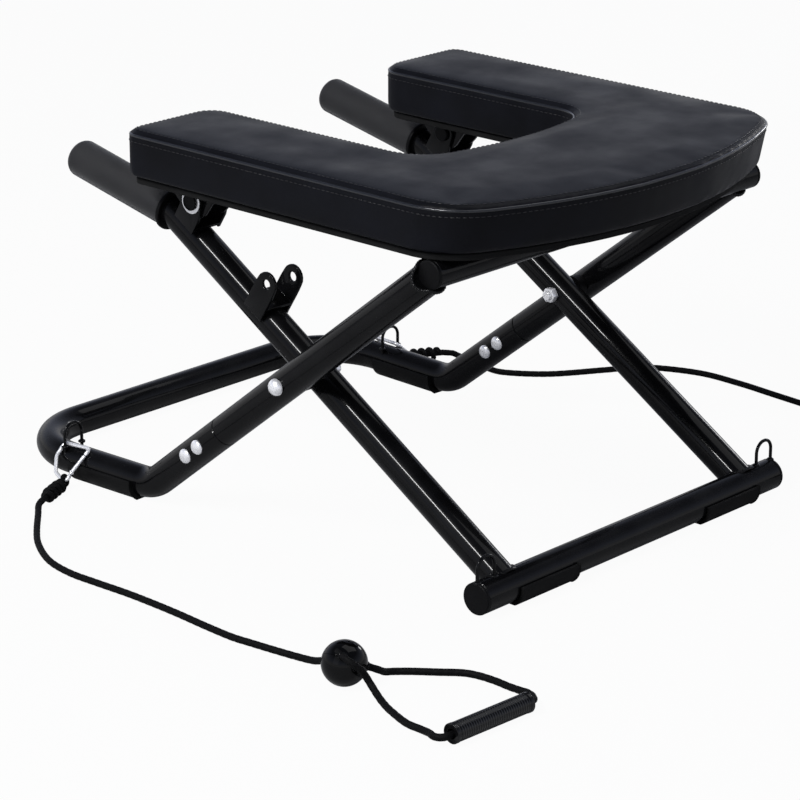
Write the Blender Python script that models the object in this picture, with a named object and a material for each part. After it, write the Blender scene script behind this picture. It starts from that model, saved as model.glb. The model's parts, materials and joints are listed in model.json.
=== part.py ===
"""Folding yoga chair: two crossed frames of round steel tube under a U-shaped padded seat.

The floor tube and the two arms are one welded and riveted frame. The two legs and the base tube are
the other. They cross at two pivot bolts. The seat hangs on hinges at the top of the legs and rests
on the rear tube of the arms. A pull cord with a handle is hooked to each side of the floor tube.

Metres, +Z up, +X to the chair's right side, +Y to its rear. The origin is on the floor, in the
middle of the chair's outline without its pull cords.
"""
import math

import bpy
import bmesh
from mathutils import Matrix, Vector

# Fits
GAP = 0.0003
BOLT_PLAY = 0.0003
SIDES = 20
SMALL_SIDES = 14
ROD_SIDES = 8
ARC_STEP = math.radians(15.0)
ROUND_STEPS = 4
CURVE_STEPS = 20

# Main tubes
TUBE_RADIUS = 0.014
TUBE_WALL = 0.0015
FOOT_RUBBER = 0.002
FOOT_WALL = 0.0035
FOOT_WRAP = math.radians(200.0)

# Leg frame
LEG_TILT = math.radians(32.16)
LEG_FROM_BASE_END = 0.0391
LEG_FOOT_TO_PIVOT = 0.2542
LEG_PIVOT_TO_BEND = 0.2058
HANDLE_TILT = math.radians(12.3)
HANDLE_BEND_RADIUS = 0.030
COPE_TRIM = 0.006
BASE_TUBE_LENGTH = 0.400
BASE_FOOT_FROM_LEG = 0.0009
BASE_FOOT_LENGTH = 0.072
BASE_EYELET_FROM_END = 0.0123
CAP_FLANGE = 0.003
CAP_PLUG = 0.012

# Foam grips
GRIP_RADIUS = 0.017
GRIP_LENGTH = 0.1222
GRIP_FROM_BEND = 0.0065
GRIP_END_WALL = 0.006
GRIP_END_ROUND = 0.008
COLLAR_RADIUS = 0.019
COLLAR_THICKNESS = 0.004

# Arm frame
ARM_TILT = math.radians(38.3)
ARM_FROM_LEG = 0.0366
ARM_PIVOT_TO_REAR = 0.2117
ARM_COPE_TRIM = 0.005
REAR_TUBE_RADIUS = 0.0125
REAR_TUBE_PAST_ARM = 0.0139
REAR_TUBE_SHIFT = -0.0064
SOCKET_LENGTH = 0.119
SPIGOT_LENGTH = 0.064
FLOOR_RUN = 0.1773
FLOOR_FLARE = 0.0074
FLOOR_CORNER_RADIUS = 0.071
FLOOR_BEND_RADIUS = 0.038
FLOOR_FOOT_FROM_BEND = 0.0535
FLOOR_FOOT_LENGTH = 0.080

# Wire eyelets
EYELET_WIRE = 0.0015
EYELET_HALF_WIDTH = 0.0105
EYELET_HEIGHT = 0.022
EYELET_CORNER = 0.010
EYELET_FROM_BEND = {"r": 0.1025, "l": 0.0845}

# Pivot bolts
BOLT_RADIUS = 0.004
BOLT_HEAD_RADIUS = 0.0075
BOLT_HEAD_HEIGHT = 0.006
SPACER_RADIUS = 0.011
NUT_RADIUS = 0.0072
NUT_HEIGHT = 0.0065
BOLT_TAIL = 0.003

# Rivets that join each arm to its socket
RIVET_RADIUS = 0.003
RIVET_HEAD_RADIUS = 0.0066
RIVET_HEAD_HEIGHT = 0.0034
RIVET_STATIONS = (0.0715, 0.0907)

# Brackets on the legs
BRACKET_PLATE = 0.003
BRACKET_EYE_HEIGHT = 0.038
BRACKET_EYE_RADIUS = 0.011
HINGE_FROM_PIVOT = 0.1825
HINGE_BASE = (-0.0145, 0.0100)
HINGE_BASE_TOP = 0.027
HINGE_SKIRT = 0.012
SPARE_FROM_PIVOT = 0.0769
SPARE_BASE = (-0.0115, 0.0115)
SPARE_BASE_TOP = 0.030
SPARE_SKIRT = 0.005

# Seat hinges
HINGE_PIN_RADIUS = 0.004
HINGE_CAP_RADIUS = 0.0076
HINGE_CAP_HEIGHT = 0.0016
WASHER_RADIUS = 0.0108
WASHER_THICKNESS = 0.0016
PIN_TAIL_HEIGHT = 0.003
CHEEK_PLATE = 0.003
CHEEK_EYE_RADIUS = 0.0165
SEAT_FLANGE_THICKNESS = 0.003
SEAT_FLANGE_HALF_WIDTH = 0.024
SEAT_FLANGE_FRONT = 0.0355
SEAT_FLANGE_REAR = 0.0295

# Seat
BOARD_THICKNESS = 0.0055
BOARD_INSET = 0.006
CUSHION_SIDE = 0.0378
CUSHION_CROWN = 0.0055
CUSHION_BOTTOM_INSET = 0.003
CUSHION_HALF_WIDTH = 0.213
CUSHION_REAR_OVERHANG = 0.0368
CUSHION_REAR_SLOPE = math.radians(23.36)
CUSHION_REAR_RADIUS = 0.405
CUSHION_REAR_CORNER = 0.060
CUSHION_REAR_LEAN = 0.009
CUSHION_FRONT_FROM_BASE = 0.3985
CUSHION_FRONT_CORNER = 0.014
SMALLEST_CORNER = 0.001
SLOT_HALF_WIDTH = 0.106
SLOT_END_FROM_BASE = 0.1339
SLOT_END_SLOPE = math.radians(11.98)
SLOT_END_RADIUS = 0.355
SLOT_CORNER = 0.035
SLOT_MOUTH_CORNER = 0.024

# Pull cords
HOOK_WIRE = 0.00175
HOOK_LEAN = math.radians(40.9)
CORD_GAP = 0.0006
KNOT_LENGTH = 0.042
KNOT_RADIUS = 0.007
KNOT_PROFILE = (
    (0, 0), (0.5, 0.015), (0.8, 0.12), (1, 0.28), (0.9, 0.45), (1, 0.62), (0.8, 0.84),
    (0.43, 0.985), (0, 1),
)
CORD_RADIUS = 0.003
CORD_SPACING = 0.0145
CORD_LEAD = 0.0104
BALL_RADIUS = 0.0185
PULL_RADIUS = 0.008
PULL_BORE = 0.0042
PULL_RIM = 0.0083
PULL_RIM_WIDTH = 0.003
PULL_RIM_SLOPE = 0.001
PULL_LENGTH = 0.082
BALL_PLACE = {"r": (0.368, 0.284), "l": (-0.384, 0.262)}
PULL_FROM_BALL = (-0.0182, 0.1344)
PULL_TURN = math.radians(-3.3)

# The carabiner's wire as (along the tube, down its plane, bend radius), seen from outside
HOOK_BODY = (
    (0.0231, 0.0224, 0.0),
    (0.0255, 0.0322, 0.004),
    (0.0060, 0.0245, 0.010),
    (-0.0043, 0.0090, 0.010),
    (-0.0043, -0.0053, 0.004),
    (0.0275, -0.0075, 0.004),
    (0.0260, 0.0005, 0.0),
)

# Which way each knot leaves its hook, then the cord's route over the floor
KNOT_TURN = {"r": math.radians(24.0), "l": math.radians(150.0)}
CORD_ROUTE = {
    "r": (
        (0.297, -0.159, 0.0037), (0.321, -0.133, 0.0032), (0.339, -0.111, 0.0032),
        (0.354, -0.086, 0.0032), (0.363, -0.063, 0.0032), (0.367, -0.035, 0.0032),
        (0.366, -0.006, 0.0032), (0.364, 0.031, 0.0032), (0.364, 0.064, 0.0032),
        (0.365, 0.095, 0.0032), (0.367, 0.127, 0.0032), (0.368, 0.158, 0.0032),
        (0.366, 0.178, 0.0032), (0.363, 0.203, 0.0032), (0.360, 0.224, 0.0032),
    ),
    "l": (
        (-0.285, -0.187, 0.0038), (-0.281, -0.165, 0.0032), (-0.276, -0.138, 0.0032),
        (-0.278, -0.115, 0.0032), (-0.305, -0.079, 0.0032), (-0.352, -0.047, 0.0032),
        (-0.385, -0.024, 0.0032), (-0.408, 0.026, 0.0032), (-0.410, 0.075, 0.0032),
        (-0.406, 0.123, 0.0032), (-0.402, 0.168, 0.0032), (-0.397, 0.202, 0.0036),
    ),
}

# The cord's last bend, into its ball, as (across, along, height) from the ball's place on the floor
CORD_TO_BALL = (
    (-0.0085, -0.0420, 0.0050), (-0.0073, -0.0295, 0.0092), (-0.0037, -0.0138, 0.0145),
)

# The loop through the pull handle, from the ball and back, as offsets from the ball on the floor
LOOP_ROUTE = (
    (-0.0115, 0.0093, 0.0159), (-0.0225, 0.0155, 0.0100), (-0.0310, 0.0140, 0.0052),
    (-0.0400, 0.0165, 0.0033), (-0.050, 0.027, 0.0032), (-0.062, 0.042, 0.0032),
    (-0.074, 0.057, 0.0032), (-0.0785, 0.070, 0.0032), (-0.0795, 0.086, 0.0034),
    (-0.0775, 0.101, 0.0042), (-0.0755, 0.114, 0.0056), (-0.0745, 0.1240, 0.0066),
    (-0.0700, 0.1325, 0.0073), (-0.0610, 0.1368, 0.0075), (-0.0182, 0.1344, 0.0075),
    (0.0225, 0.1320, 0.0075), (0.0305, 0.1295, 0.0073), (0.0320, 0.1230, 0.0066),
    (0.0275, 0.1145, 0.0050), (0.0248, 0.103, 0.0036), (0.0235, 0.087, 0.0032),
    (0.0157, 0.064, 0.0032), (0.0100, 0.0515, 0.0032), (0.0048, 0.0405, 0.0045),
    (0.0012, 0.0300, 0.0090), (0.0025, 0.0258, 0.0151), (0.0062, 0.0238, 0.0216),
    (0.0105, 0.0196, 0.0267), (0.0119, 0.0136, 0.0294), (0.0107, 0.0073, 0.0304),
    (0.0094, 0.0010, 0.0315),
)

# Where things stand
LEG_X = BASE_TUBE_LENGTH / 2 - LEG_FROM_BASE_END
ARM_X = LEG_X + ARM_FROM_LEG
FLOOR_CORNER_X = ARM_X + FLOOR_FLARE
REAR_TUBE_LENGTH = 2 * (ARM_X + REAR_TUBE_PAST_ARM)
AXIS_Z = FOOT_RUBBER + TUBE_RADIUS
PIVOT_HEIGHT = LEG_FOOT_TO_PIVOT * math.sin(LEG_TILT)
ARM_PIVOT_TO_BEND = PIVOT_HEIGHT / math.sin(ARM_TILT)
FRONT_REACH = (
    LEG_FOOT_TO_PIVOT * math.cos(LEG_TILT) + ARM_PIVOT_TO_BEND * math.cos(ARM_TILT)
    + FLOOR_RUN + TUBE_RADIUS
)
BASE_Y = (FRONT_REACH - CUSHION_REAR_OVERHANG) / 2
PIVOT_Y = BASE_Y - LEG_FOOT_TO_PIVOT * math.cos(LEG_TILT)
PIVOT_Z = AXIS_Z + PIVOT_HEIGHT
BEND_Y = PIVOT_Y - ARM_PIVOT_TO_BEND * math.cos(ARM_TILT)
CORNER_Y = BEND_Y - FLOOR_RUN
FOOT_RADIUS = TUBE_RADIUS + FOOT_WALL
BORE = TUBE_RADIUS - TUBE_WALL
CUT_REACH = 1.5 * TUBE_RADIUS

FLOOR = Matrix.Identity(4)
LEG = Matrix.Translation((0, PIVOT_Y, PIVOT_Z)) @ Matrix.Rotation(-LEG_TILT, 4, "X")
ARM = Matrix.Translation((0, PIVOT_Y, PIVOT_Z)) @ Matrix.Rotation(ARM_TILT, 4, "X")
HINGE = Matrix.Translation(LEG @ Vector((0, -HINGE_FROM_PIVOT, BRACKET_EYE_HEIGHT)))
REAR_TUBE = ARM @ Vector((0, ARM_PIVOT_TO_REAR, 0))
BOARD_BOTTOM = REAR_TUBE.z + REAR_TUBE_RADIUS + GAP
CUSHION_BOTTOM = BOARD_BOTTOM + BOARD_THICKNESS + GAP

TURN_TO_Y = Matrix.Rotation(math.radians(90.0), 4, "Z")
FLIP = {"r": Matrix.Identity(4), "l": Matrix.Rotation(math.pi, 4, "Z")}
SIGN = {"r": 1, "l": -1}


def at(x=0.0, y=0.0, z=0.0):
    return Matrix.Translation((x, y, z))


# Materials

def finish(name, color, roughness, metallic=0.0):
    material = bpy.data.materials.new(name)
    material.use_nodes = True
    shader = material.node_tree.nodes["Principled BSDF"]
    shader.inputs["Base Color"].default_value = (*color, 1.0)
    shader.inputs["Roughness"].default_value = roughness
    shader.inputs["Metallic"].default_value = metallic
    return material


# Meshes

def to_mesh(name, bm):
    """Close off a bmesh as a smooth-shaded mesh with its faces pointing out."""
    bmesh.ops.recalc_face_normals(bm, faces=bm.faces)
    mesh = bpy.data.meshes.new(name)
    bm.to_mesh(mesh)
    bm.free()
    mesh.shade_smooth()
    mesh.set_sharp_from_angle(angle=math.radians(35.0))
    return mesh


def skin(bm, first, second):
    """Join two rings of as many vertices with quads."""
    count = len(first)
    for k in range(count):
        bm.faces.new((first[k], first[(k + 1) % count], second[(k + 1) % count], second[k]))


def filleted(corners, closed=False):
    """Points of a line through corners, each given as (place, bend radius)."""
    path = []
    for index, (place, radius) in enumerate(corners):
        open_end = not closed and index in (0, len(corners) - 1)
        if open_end or radius == 0:
            path.append(Vector(place))
            continue
        into = (place - corners[index - 1][0]).normalized()
        out = (corners[(index + 1) % len(corners)][0] - place).normalized()
        turn = into.angle(out)
        side = (out - into * into.dot(out)).normalized()
        centre = place - into * radius * math.tan(turn / 2) + side * radius
        steps = max(2, math.ceil(turn / ARC_STEP))
        for step in range(steps + 1):
            angle = turn * step / steps
            path.append(centre + (into * math.sin(angle) - side * math.cos(angle)) * radius)
    return path


def rings_along(bm, path, radius, sides):
    """A ring of vertices across each point of a path, without twist."""
    rings = []
    across = Vector((1, 0, 0))
    if abs((path[1] - path[0]).normalized().x) > 0.9:
        across = Vector((0, 0, 1))
    for index, point in enumerate(path):
        before = path[max(index - 1, 0)]
        after = path[min(index + 1, len(path) - 1)]
        along = ((after - point).normalized() + (point - before).normalized()).normalized()
        across = (across - along * across.dot(along)).normalized()
        up = along.cross(across)
        ring = []
        for k in range(sides):
            angle = 2 * math.pi * k / sides
            offset = across * math.cos(angle) + up * math.sin(angle)
            ring.append(bm.verts.new(point + offset * radius))
        rings.append(ring)
    return rings


def tube_mesh(name, path, radius, bore):
    """An open pipe along a path."""
    bm = bmesh.new()
    outer = rings_along(bm, path, radius, SIDES)
    inner = rings_along(bm, path, bore, SIDES)
    for wall in (outer, inner):
        for first, second in zip(wall, wall[1:]):
            skin(bm, first, second)
    skin(bm, outer[0], inner[0])
    skin(bm, outer[-1], inner[-1])
    return to_mesh(name, bm)


def rod_mesh(name, path, radius, sides=ROD_SIDES):
    """A solid rod along a path."""
    bm = bmesh.new()
    rings = rings_along(bm, path, radius, sides)
    for first, second in zip(rings, rings[1:]):
        skin(bm, first, second)
    bm.faces.new(rings[0])
    bm.faces.new(rings[-1])
    return to_mesh(name, bm)


def lathe_mesh(name, profile, sides=SIDES):
    """Turn a profile of (radius, place along X) about X. It closes on the axis or on itself."""
    bm = bmesh.new()
    rings = []
    for radius, along in profile:
        if radius == 0:
            rings.append([bm.verts.new((along, 0, 0))])
            continue
        ring = []
        for k in range(sides):
            angle = 2 * math.pi * k / sides
            ring.append(bm.verts.new((along, radius * math.cos(angle), radius * math.sin(angle))))
        rings.append(ring)
    pairs = list(zip(rings, rings[1:]))
    if profile[0][0] > 0:
        pairs.append((rings[-1], rings[0]))
    for first, second in pairs:
        if len(first) == 1 or len(second) == 1:
            tip, ring = (first[0], second) if len(first) == 1 else (second[0], first)
            for k in range(sides):
                bm.faces.new((tip, ring[k], ring[(k + 1) % sides]))
        else:
            skin(bm, first, second)
    return to_mesh(name, bm)


def plate_mesh(name, outline, low, high):
    """A plate across X, from low to high, with its outline as (y, z) points."""
    bm = bmesh.new()
    first = [bm.verts.new((low, y, z)) for y, z in outline]
    second = [bm.verts.new((high, y, z)) for y, z in outline]
    skin(bm, first, second)
    bm.faces.new(first)
    bm.faces.new(second)
    return to_mesh(name, bm)


def layered_mesh(name, layers):
    """A slab from closed outlines of as many points, each given as (points, height)."""
    bm = bmesh.new()
    rings = []
    for points, height in layers:
        rings.append([bm.verts.new((point.x, point.y, height)) for point in points])
    for first, second in zip(rings, rings[1:]):
        skin(bm, first, second)
    bm.faces.new(rings[0])
    bm.faces.new(rings[-1])
    return to_mesh(name, bm)


def dome(radius, height, start):
    """Profile of a dome that stands on a flat face at start and ends on the axis."""
    profile = []
    for step in range(ROUND_STEPS + 1):
        angle = math.pi / 2 * step / ROUND_STEPS
        profile.append((radius * math.cos(angle), start + height * math.sin(angle)))
    profile[-1] = (0, start + height)
    return profile


def hull_outline(points):
    """Convex outline of 2D points, anticlockwise."""
    ordered = sorted(points)
    halves = []
    for sequence in (ordered, ordered[::-1]):
        half = []
        for point in sequence:
            while len(half) > 1:
                (ax, ay), (bx, by) = half[-2:]
                if (bx - ax) * (point[1] - ay) - (by - ay) * (point[0] - ax) > 1e-12:
                    break
                half.pop()
            half.append(point)
        halves.append(half[:-1])
    return halves[0] + halves[1]


def circle_points(y, z, radius, count=SIDES):
    angles = [2 * math.pi * k / count for k in range(count)]
    return [(y + radius * math.cos(angle), z + radius * math.sin(angle)) for angle in angles]


# Objects

def empty(name, matrix, parent=None, parent_matrix=FLOOR):
    marker = bpy.data.objects.new(name, None)
    bpy.context.scene.collection.objects.link(marker)
    marker.parent = parent
    marker.matrix_basis = parent_matrix.inverted() @ matrix
    return marker


class Body:
    """Pieces that move together, parented to an empty on their joint's axis."""

    def __init__(self, name, frame, parent=None):
        self.frame = frame
        parent_frame = parent.frame if parent else FLOOR
        self.marker = empty(name, frame, parent.marker if parent else None, parent_frame)

    def add(self, name, data, material, matrix):
        piece = bpy.data.objects.new(name, data)
        bpy.context.scene.collection.objects.link(piece)
        piece.parent = self.marker
        piece.matrix_basis = self.frame.inverted() @ matrix
        if material:
            data.materials.append(material)
        return piece

    def cutter(self, name, data, matrix):
        tool = self.add(name, data, None, matrix)
        tool.hide_render = True
        tool.display_type = "WIRE"
        return tool


def boolean(piece, tool, operation="DIFFERENCE"):
    modifier = piece.modifiers.new(tool.name, "BOOLEAN")
    modifier.operation = operation
    modifier.solver = "EXACT"
    modifier.object = tool


def cylinder_mesh(name, radius, low, high, sides=SIDES):
    """A closed cylinder along X."""
    return lathe_mesh(name, [(0, low), (radius, low), (radius, high), (0, high)], sides)


# Leg frame

def make_legs(body, steel):
    handle_turn = LEG_TILT - HANDLE_TILT
    handle = Vector((0, -math.cos(handle_turn), -math.sin(handle_turn)))
    bend = Vector((0, -LEG_PIVOT_TO_BEND, 0))
    tube_end = GRIP_FROM_BEND + GRIP_LENGTH - GRIP_END_WALL - GAP
    foot = Vector((0, LEG_FOOT_TO_PIVOT - COPE_TRIM, 0))
    path = filleted([(foot, 0), (bend, HANDLE_BEND_RADIUS), (bend + handle * tube_end, 0)])
    half = BASE_TUBE_LENGTH / 2
    cope = body.cutter(
        "cope_cutter", cylinder_mesh("cope_cutter", TUBE_RADIUS + GAP, -half, half), at(0, BASE_Y, AXIS_Z))
    for side, sign in SIGN.items():
        mesh = tube_mesh("leg_" + side, path, TUBE_RADIUS, BORE)
        leg = body.add("leg_" + side, mesh, steel, LEG @ at(sign * LEG_X))
        boolean(leg, cope)
        drill_pivot(body, leg, sign * LEG_X)


def drill_pivot(body, piece, x):
    """Cut the pivot bolt's hole through a tube whose middle is at x."""
    name = piece.name + "_pivot_cutter"
    mesh = cylinder_mesh(name, BOLT_RADIUS + BOLT_PLAY, x - CUT_REACH, x + CUT_REACH, SMALL_SIDES)
    boolean(piece, body.cutter(name, mesh, at(0, PIVOT_Y, PIVOT_Z)))


def make_grips(body, foam, plastic):
    bore = TUBE_RADIUS + GAP
    turn = Matrix.Rotation(LEG_TILT - HANDLE_TILT, 4, "X")
    bend = at(0, -LEG_PIVOT_TO_BEND, 0) @ turn @ TURN_TO_Y.inverted()
    round_start = GRIP_LENGTH - GRIP_END_ROUND
    profile = [(0, GRIP_LENGTH - GRIP_END_WALL), (bore, GRIP_LENGTH - GRIP_END_WALL), (bore, 0)]
    profile += [(GRIP_RADIUS, 0)]
    for step in range(ROUND_STEPS + 1):
        angle = math.pi / 2 * step / ROUND_STEPS
        radius = GRIP_RADIUS - GRIP_END_ROUND * (1 - math.cos(angle))
        profile.append((radius, round_start + GRIP_END_ROUND * math.sin(angle)))
    profile.append((0, GRIP_LENGTH))
    ring = [(bore, 0), (bore, COLLAR_THICKNESS), (COLLAR_RADIUS, COLLAR_THICKNESS), (COLLAR_RADIUS, 0)]
    collar_from_bend = GRIP_FROM_BEND - GAP - COLLAR_THICKNESS
    for side, sign in SIGN.items():
        place = LEG @ at(sign * LEG_X) @ bend
        grip = lathe_mesh("grip_" + side, profile)
        body.add("grip_" + side, grip, foam, place @ at(GRIP_FROM_BEND))
        collar = lathe_mesh("grip_collar_" + side, ring)
        body.add("grip_collar_" + side, collar, plastic, place @ at(collar_from_bend))


def make_base(body, steel, plastic, rubber):
    half = BASE_TUBE_LENGTH / 2 - CAP_FLANGE - GAP
    path = [Vector((-half, 0, 0)), Vector((half, 0, 0))]
    base = at(0, BASE_Y, AXIS_Z)
    body.add("base_tube", tube_mesh("base_tube", path, TUBE_RADIUS, BORE), steel, base)
    for side, sign in SIGN.items():
        cap = cap_mesh("base_cap_" + side, TUBE_RADIUS, BORE)
        body.add("base_cap_" + side, cap, plastic, base @ at(sign * (half + GAP)) @ FLIP[side])
        foot = foot_mesh("base_foot_" + side, BASE_FOOT_LENGTH)
        middle = sign * (LEG_X - BASE_FOOT_FROM_LEG - BASE_FOOT_LENGTH / 2)
        piece = body.add("base_foot_" + side, foot, rubber, base @ at(middle))
        name = "leg_notch_cutter_" + side
        notch = cylinder_mesh(name, TUBE_RADIUS + GAP, -LEG_FOOT_TO_PIVOT, 0)
        boolean(piece, body.cutter(name, notch, LEG @ at(sign * LEG_X) @ TURN_TO_Y.inverted()
                                   @ at(-LEG_FOOT_TO_PIVOT / 2)))
        eyelet = base @ at(sign * (BASE_TUBE_LENGTH / 2 - BASE_EYELET_FROM_END))
        make_eyelet(body, "base_eyelet_" + side, steel, eyelet, FLOOR)


def cap_mesh(name, radius, bore):
    """An end cap whose flange starts at 0 and whose plug points to -X."""
    plug = bore - GAP
    edge = CAP_FLANGE / 3
    return lathe_mesh(name, [
        (0, -CAP_PLUG), (plug, -CAP_PLUG), (plug, 0), (radius, 0), (radius, CAP_FLANGE - edge),
        (radius - edge, CAP_FLANGE), (0, CAP_FLANGE)])


def foot_mesh(name, length):
    """A rubber sleeve under a tube along X, cut flat where it meets the floor."""
    half = FOOT_WRAP / 2
    steps = SIDES // 2
    angles = [-math.pi / 2 - half + FOOT_WRAP * step / steps for step in range(steps + 1)]
    inner = TUBE_RADIUS + GAP
    outline = [(inner * math.cos(angle), inner * math.sin(angle)) for angle in angles]
    outside = [(FOOT_RADIUS * math.cos(angle), FOOT_RADIUS * math.sin(angle)) for angle in angles[::-1]]
    flat = math.sqrt(FOOT_RADIUS ** 2 - AXIS_Z ** 2)
    outline += [(y, z) for y, z in outside if y > 0 and z > -AXIS_Z]
    outline += [(flat, -AXIS_Z), (-flat, -AXIS_Z)]
    outline += [(y, z) for y, z in outside if y < 0 and z > -AXIS_Z]
    return plate_mesh(name, outline, -length / 2, length / 2)


def make_eyelet(body, name, steel, place, tube_turn):
    """A wire loop on top of a tube. tube_turn turns X to the tube's direction."""
    top = TUBE_RADIUS + EYELET_HEIGHT - EYELET_WIRE
    width = EYELET_HALF_WIDTH
    path = filleted([
        (Vector((-width, 0, 0)), 0), (Vector((-width, 0, top)), EYELET_CORNER),
        (Vector((width, 0, top)), EYELET_CORNER), (Vector((width, 0, 0)), 0)])
    loop = body.add(name, rod_mesh(name, path, EYELET_WIRE), steel, place)
    tool_name = name + "_cutter"
    tool = cylinder_mesh(tool_name, TUBE_RADIUS + GAP, -2 * width, 2 * width)
    boolean(loop, body.cutter(tool_name, tool, place @ tube_turn))


def channel_bracket(body, name, steel, place, base, base_top, skirt):
    """A folded plate over a leg with two ears and a hole through both."""
    inside = TUBE_RADIUS + GAP
    outside = inside + BRACKET_PLATE
    ear_top = BRACKET_EYE_HEIGHT + BRACKET_EYE_RADIUS
    front, rear = base
    section = [
        (-outside, skirt), (-inside, skirt), (-inside, inside), (inside, inside),
        (inside, skirt), (outside, skirt), (outside, ear_top), (inside, ear_top),
        (inside, outside), (-inside, outside), (-inside, ear_top), (-outside, ear_top)]
    reach = 2 * max(abs(front), abs(rear), BRACKET_EYE_RADIUS)
    channel = plate_mesh(name, section, -reach, reach)
    piece = body.add(name, channel, steel, place @ TURN_TO_Y)
    side_view = hull_outline(
        [(-rear, skirt / 2), (-front, skirt / 2), (-rear, base_top), (-front, base_top)]
        + circle_points(0, BRACKET_EYE_HEIGHT, BRACKET_EYE_RADIUS))
    shape_name = name + "_shape_cutter"
    shape = plate_mesh(shape_name, side_view, -2 * outside, 2 * outside)
    boolean(piece, body.cutter(shape_name, shape, place), "INTERSECT")
    hole_name = name + "_hole_cutter"
    hole = cylinder_mesh(hole_name, HINGE_PIN_RADIUS + BOLT_PLAY, -2 * outside, 2 * outside)
    boolean(piece, body.cutter(hole_name, hole, place @ at(0, 0, BRACKET_EYE_HEIGHT)))


def make_leg_brackets(body, steel):
    for side, sign in SIGN.items():
        leg = LEG @ at(sign * LEG_X)
        channel_bracket(body, "hinge_bracket_" + side, steel, leg @ at(0, -HINGE_FROM_PIVOT),
                        HINGE_BASE, HINGE_BASE_TOP, HINGE_SKIRT)
        channel_bracket(body, "spare_bracket_" + side, steel, leg @ at(0, -SPARE_FROM_PIVOT),
                        SPARE_BASE, SPARE_BASE_TOP, SPARE_SKIRT)


def make_pivots(body, zinc, plastic):
    leg_outer = LEG_X + TUBE_RADIUS + GAP
    arm_inner = ARM_X - TUBE_RADIUS - GAP
    head_seat = ARM_X + TUBE_RADIUS + GAP
    nut_seat = LEG_X - TUBE_RADIUS - GAP
    tail = nut_seat - NUT_HEIGHT - BOLT_TAIL
    bolt_profile = [(0, tail), (BOLT_RADIUS, tail), (BOLT_RADIUS, head_seat)]
    bolt_profile += dome(BOLT_HEAD_RADIUS, BOLT_HEAD_HEIGHT, head_seat)
    bore = BOLT_RADIUS + BOLT_PLAY
    spacer_profile = [(bore, leg_outer), (SPACER_RADIUS, leg_outer), (SPACER_RADIUS, arm_inner),
                      (bore, arm_inner)]
    for side in SIGN:
        place = at(0, PIVOT_Y, PIVOT_Z) @ FLIP[side]
        bolt = lathe_mesh("pivot_bolt_" + side, bolt_profile, SMALL_SIDES)
        body.add("pivot_bolt_" + side, bolt, zinc, place)
        spacer = lathe_mesh("pivot_spacer_" + side, spacer_profile)
        body.add("pivot_spacer_" + side, spacer, plastic, place)
        nut = nut_mesh("pivot_nut_" + side, nut_seat - NUT_HEIGHT, nut_seat)
        body.add("pivot_nut_" + side, nut, zinc, place)


def nut_mesh(name, low, high):
    """A hexagon nut along X with a round hole."""
    bm = bmesh.new()
    bore = BOLT_RADIUS + BOLT_PLAY
    count = 12
    rings = []
    for along in (low, high):
        hexagon = []
        hole = []
        for k in range(count):
            angle = 2 * math.pi * k / count
            corner = NUT_RADIUS if k % 2 == 0 else NUT_RADIUS * math.cos(math.pi / 6)
            hexagon.append(bm.verts.new((along, corner * math.cos(angle), corner * math.sin(angle))))
            hole.append(bm.verts.new((along, bore * math.cos(angle), bore * math.sin(angle))))
        rings.append((hexagon, hole))
    for ring in range(2):
        skin(bm, rings[0][ring], rings[1][ring])
        skin(bm, *rings[ring])
    return to_mesh(name, bm)


# Arm frame

def make_floor_tube(body, steel):
    """The U-shaped tube on the floor, with its two ends rising to hold the arms."""
    rise = Vector((0, math.cos(ARM_TILT), math.sin(ARM_TILT)))
    corners = []
    for sign in (1, -1):
        bend = Vector((sign * ARM_X, BEND_Y, AXIS_Z))
        corner = Vector((sign * FLOOR_CORNER_X, CORNER_Y, AXIS_Z))
        half = [(bend + rise * SOCKET_LENGTH, 0), (bend, FLOOR_BEND_RADIUS), (corner, FLOOR_CORNER_RADIUS)]
        corners += half if sign == 1 else half[::-1]
    mesh = tube_mesh("floor_tube", filleted(corners), TUBE_RADIUS, BORE)
    tube = body.add("floor_tube", mesh, steel, FLOOR)
    for side, sign in SIGN.items():
        drill_rivets(body, tube, side, sign)


def drill_rivets(body, piece, side, sign):
    for number, station in enumerate(RIVET_STATIONS, 1):
        name = f"{piece.name}_rivet_cutter_{side}{number}"
        mesh = cylinder_mesh(name, RIVET_RADIUS + BOLT_PLAY, -CUT_REACH, CUT_REACH, ROD_SIDES)
        place = ARM @ at(sign * ARM_X, station - ARM_PIVOT_TO_BEND)
        boolean(piece, body.cutter(name, mesh, place))


def make_arms(body, steel):
    spigot = BORE - GAP
    spigot_bore = spigot - TUBE_WALL
    low = SOCKET_LENGTH - SPIGOT_LENGTH - ARM_PIVOT_TO_BEND
    step = SOCKET_LENGTH + GAP - ARM_PIVOT_TO_BEND
    high = ARM_PIVOT_TO_REAR - ARM_COPE_TRIM
    profile = [
        (spigot_bore, low), (spigot, low), (spigot, step), (TUBE_RADIUS, step), (TUBE_RADIUS, high),
        (BORE, high), (BORE, step + SPIGOT_LENGTH / 8), (spigot_bore, step + SPIGOT_LENGTH / 8)]
    reach = ARM_X + CUT_REACH
    cope = body.cutter(
        "rear_cope_cutter", cylinder_mesh("rear_cope_cutter", REAR_TUBE_RADIUS + GAP, -reach, reach),
        at(0, REAR_TUBE.y, REAR_TUBE.z))
    for side, sign in SIGN.items():
        mesh = lathe_mesh("arm_tube_" + side, profile)
        arm = body.add("arm_tube_" + side, mesh, steel, ARM @ at(sign * ARM_X) @ TURN_TO_Y)
        boolean(arm, cope)
        drill_pivot(body, arm, sign * ARM_X)
        drill_rivets(body, arm, side, sign)


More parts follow.
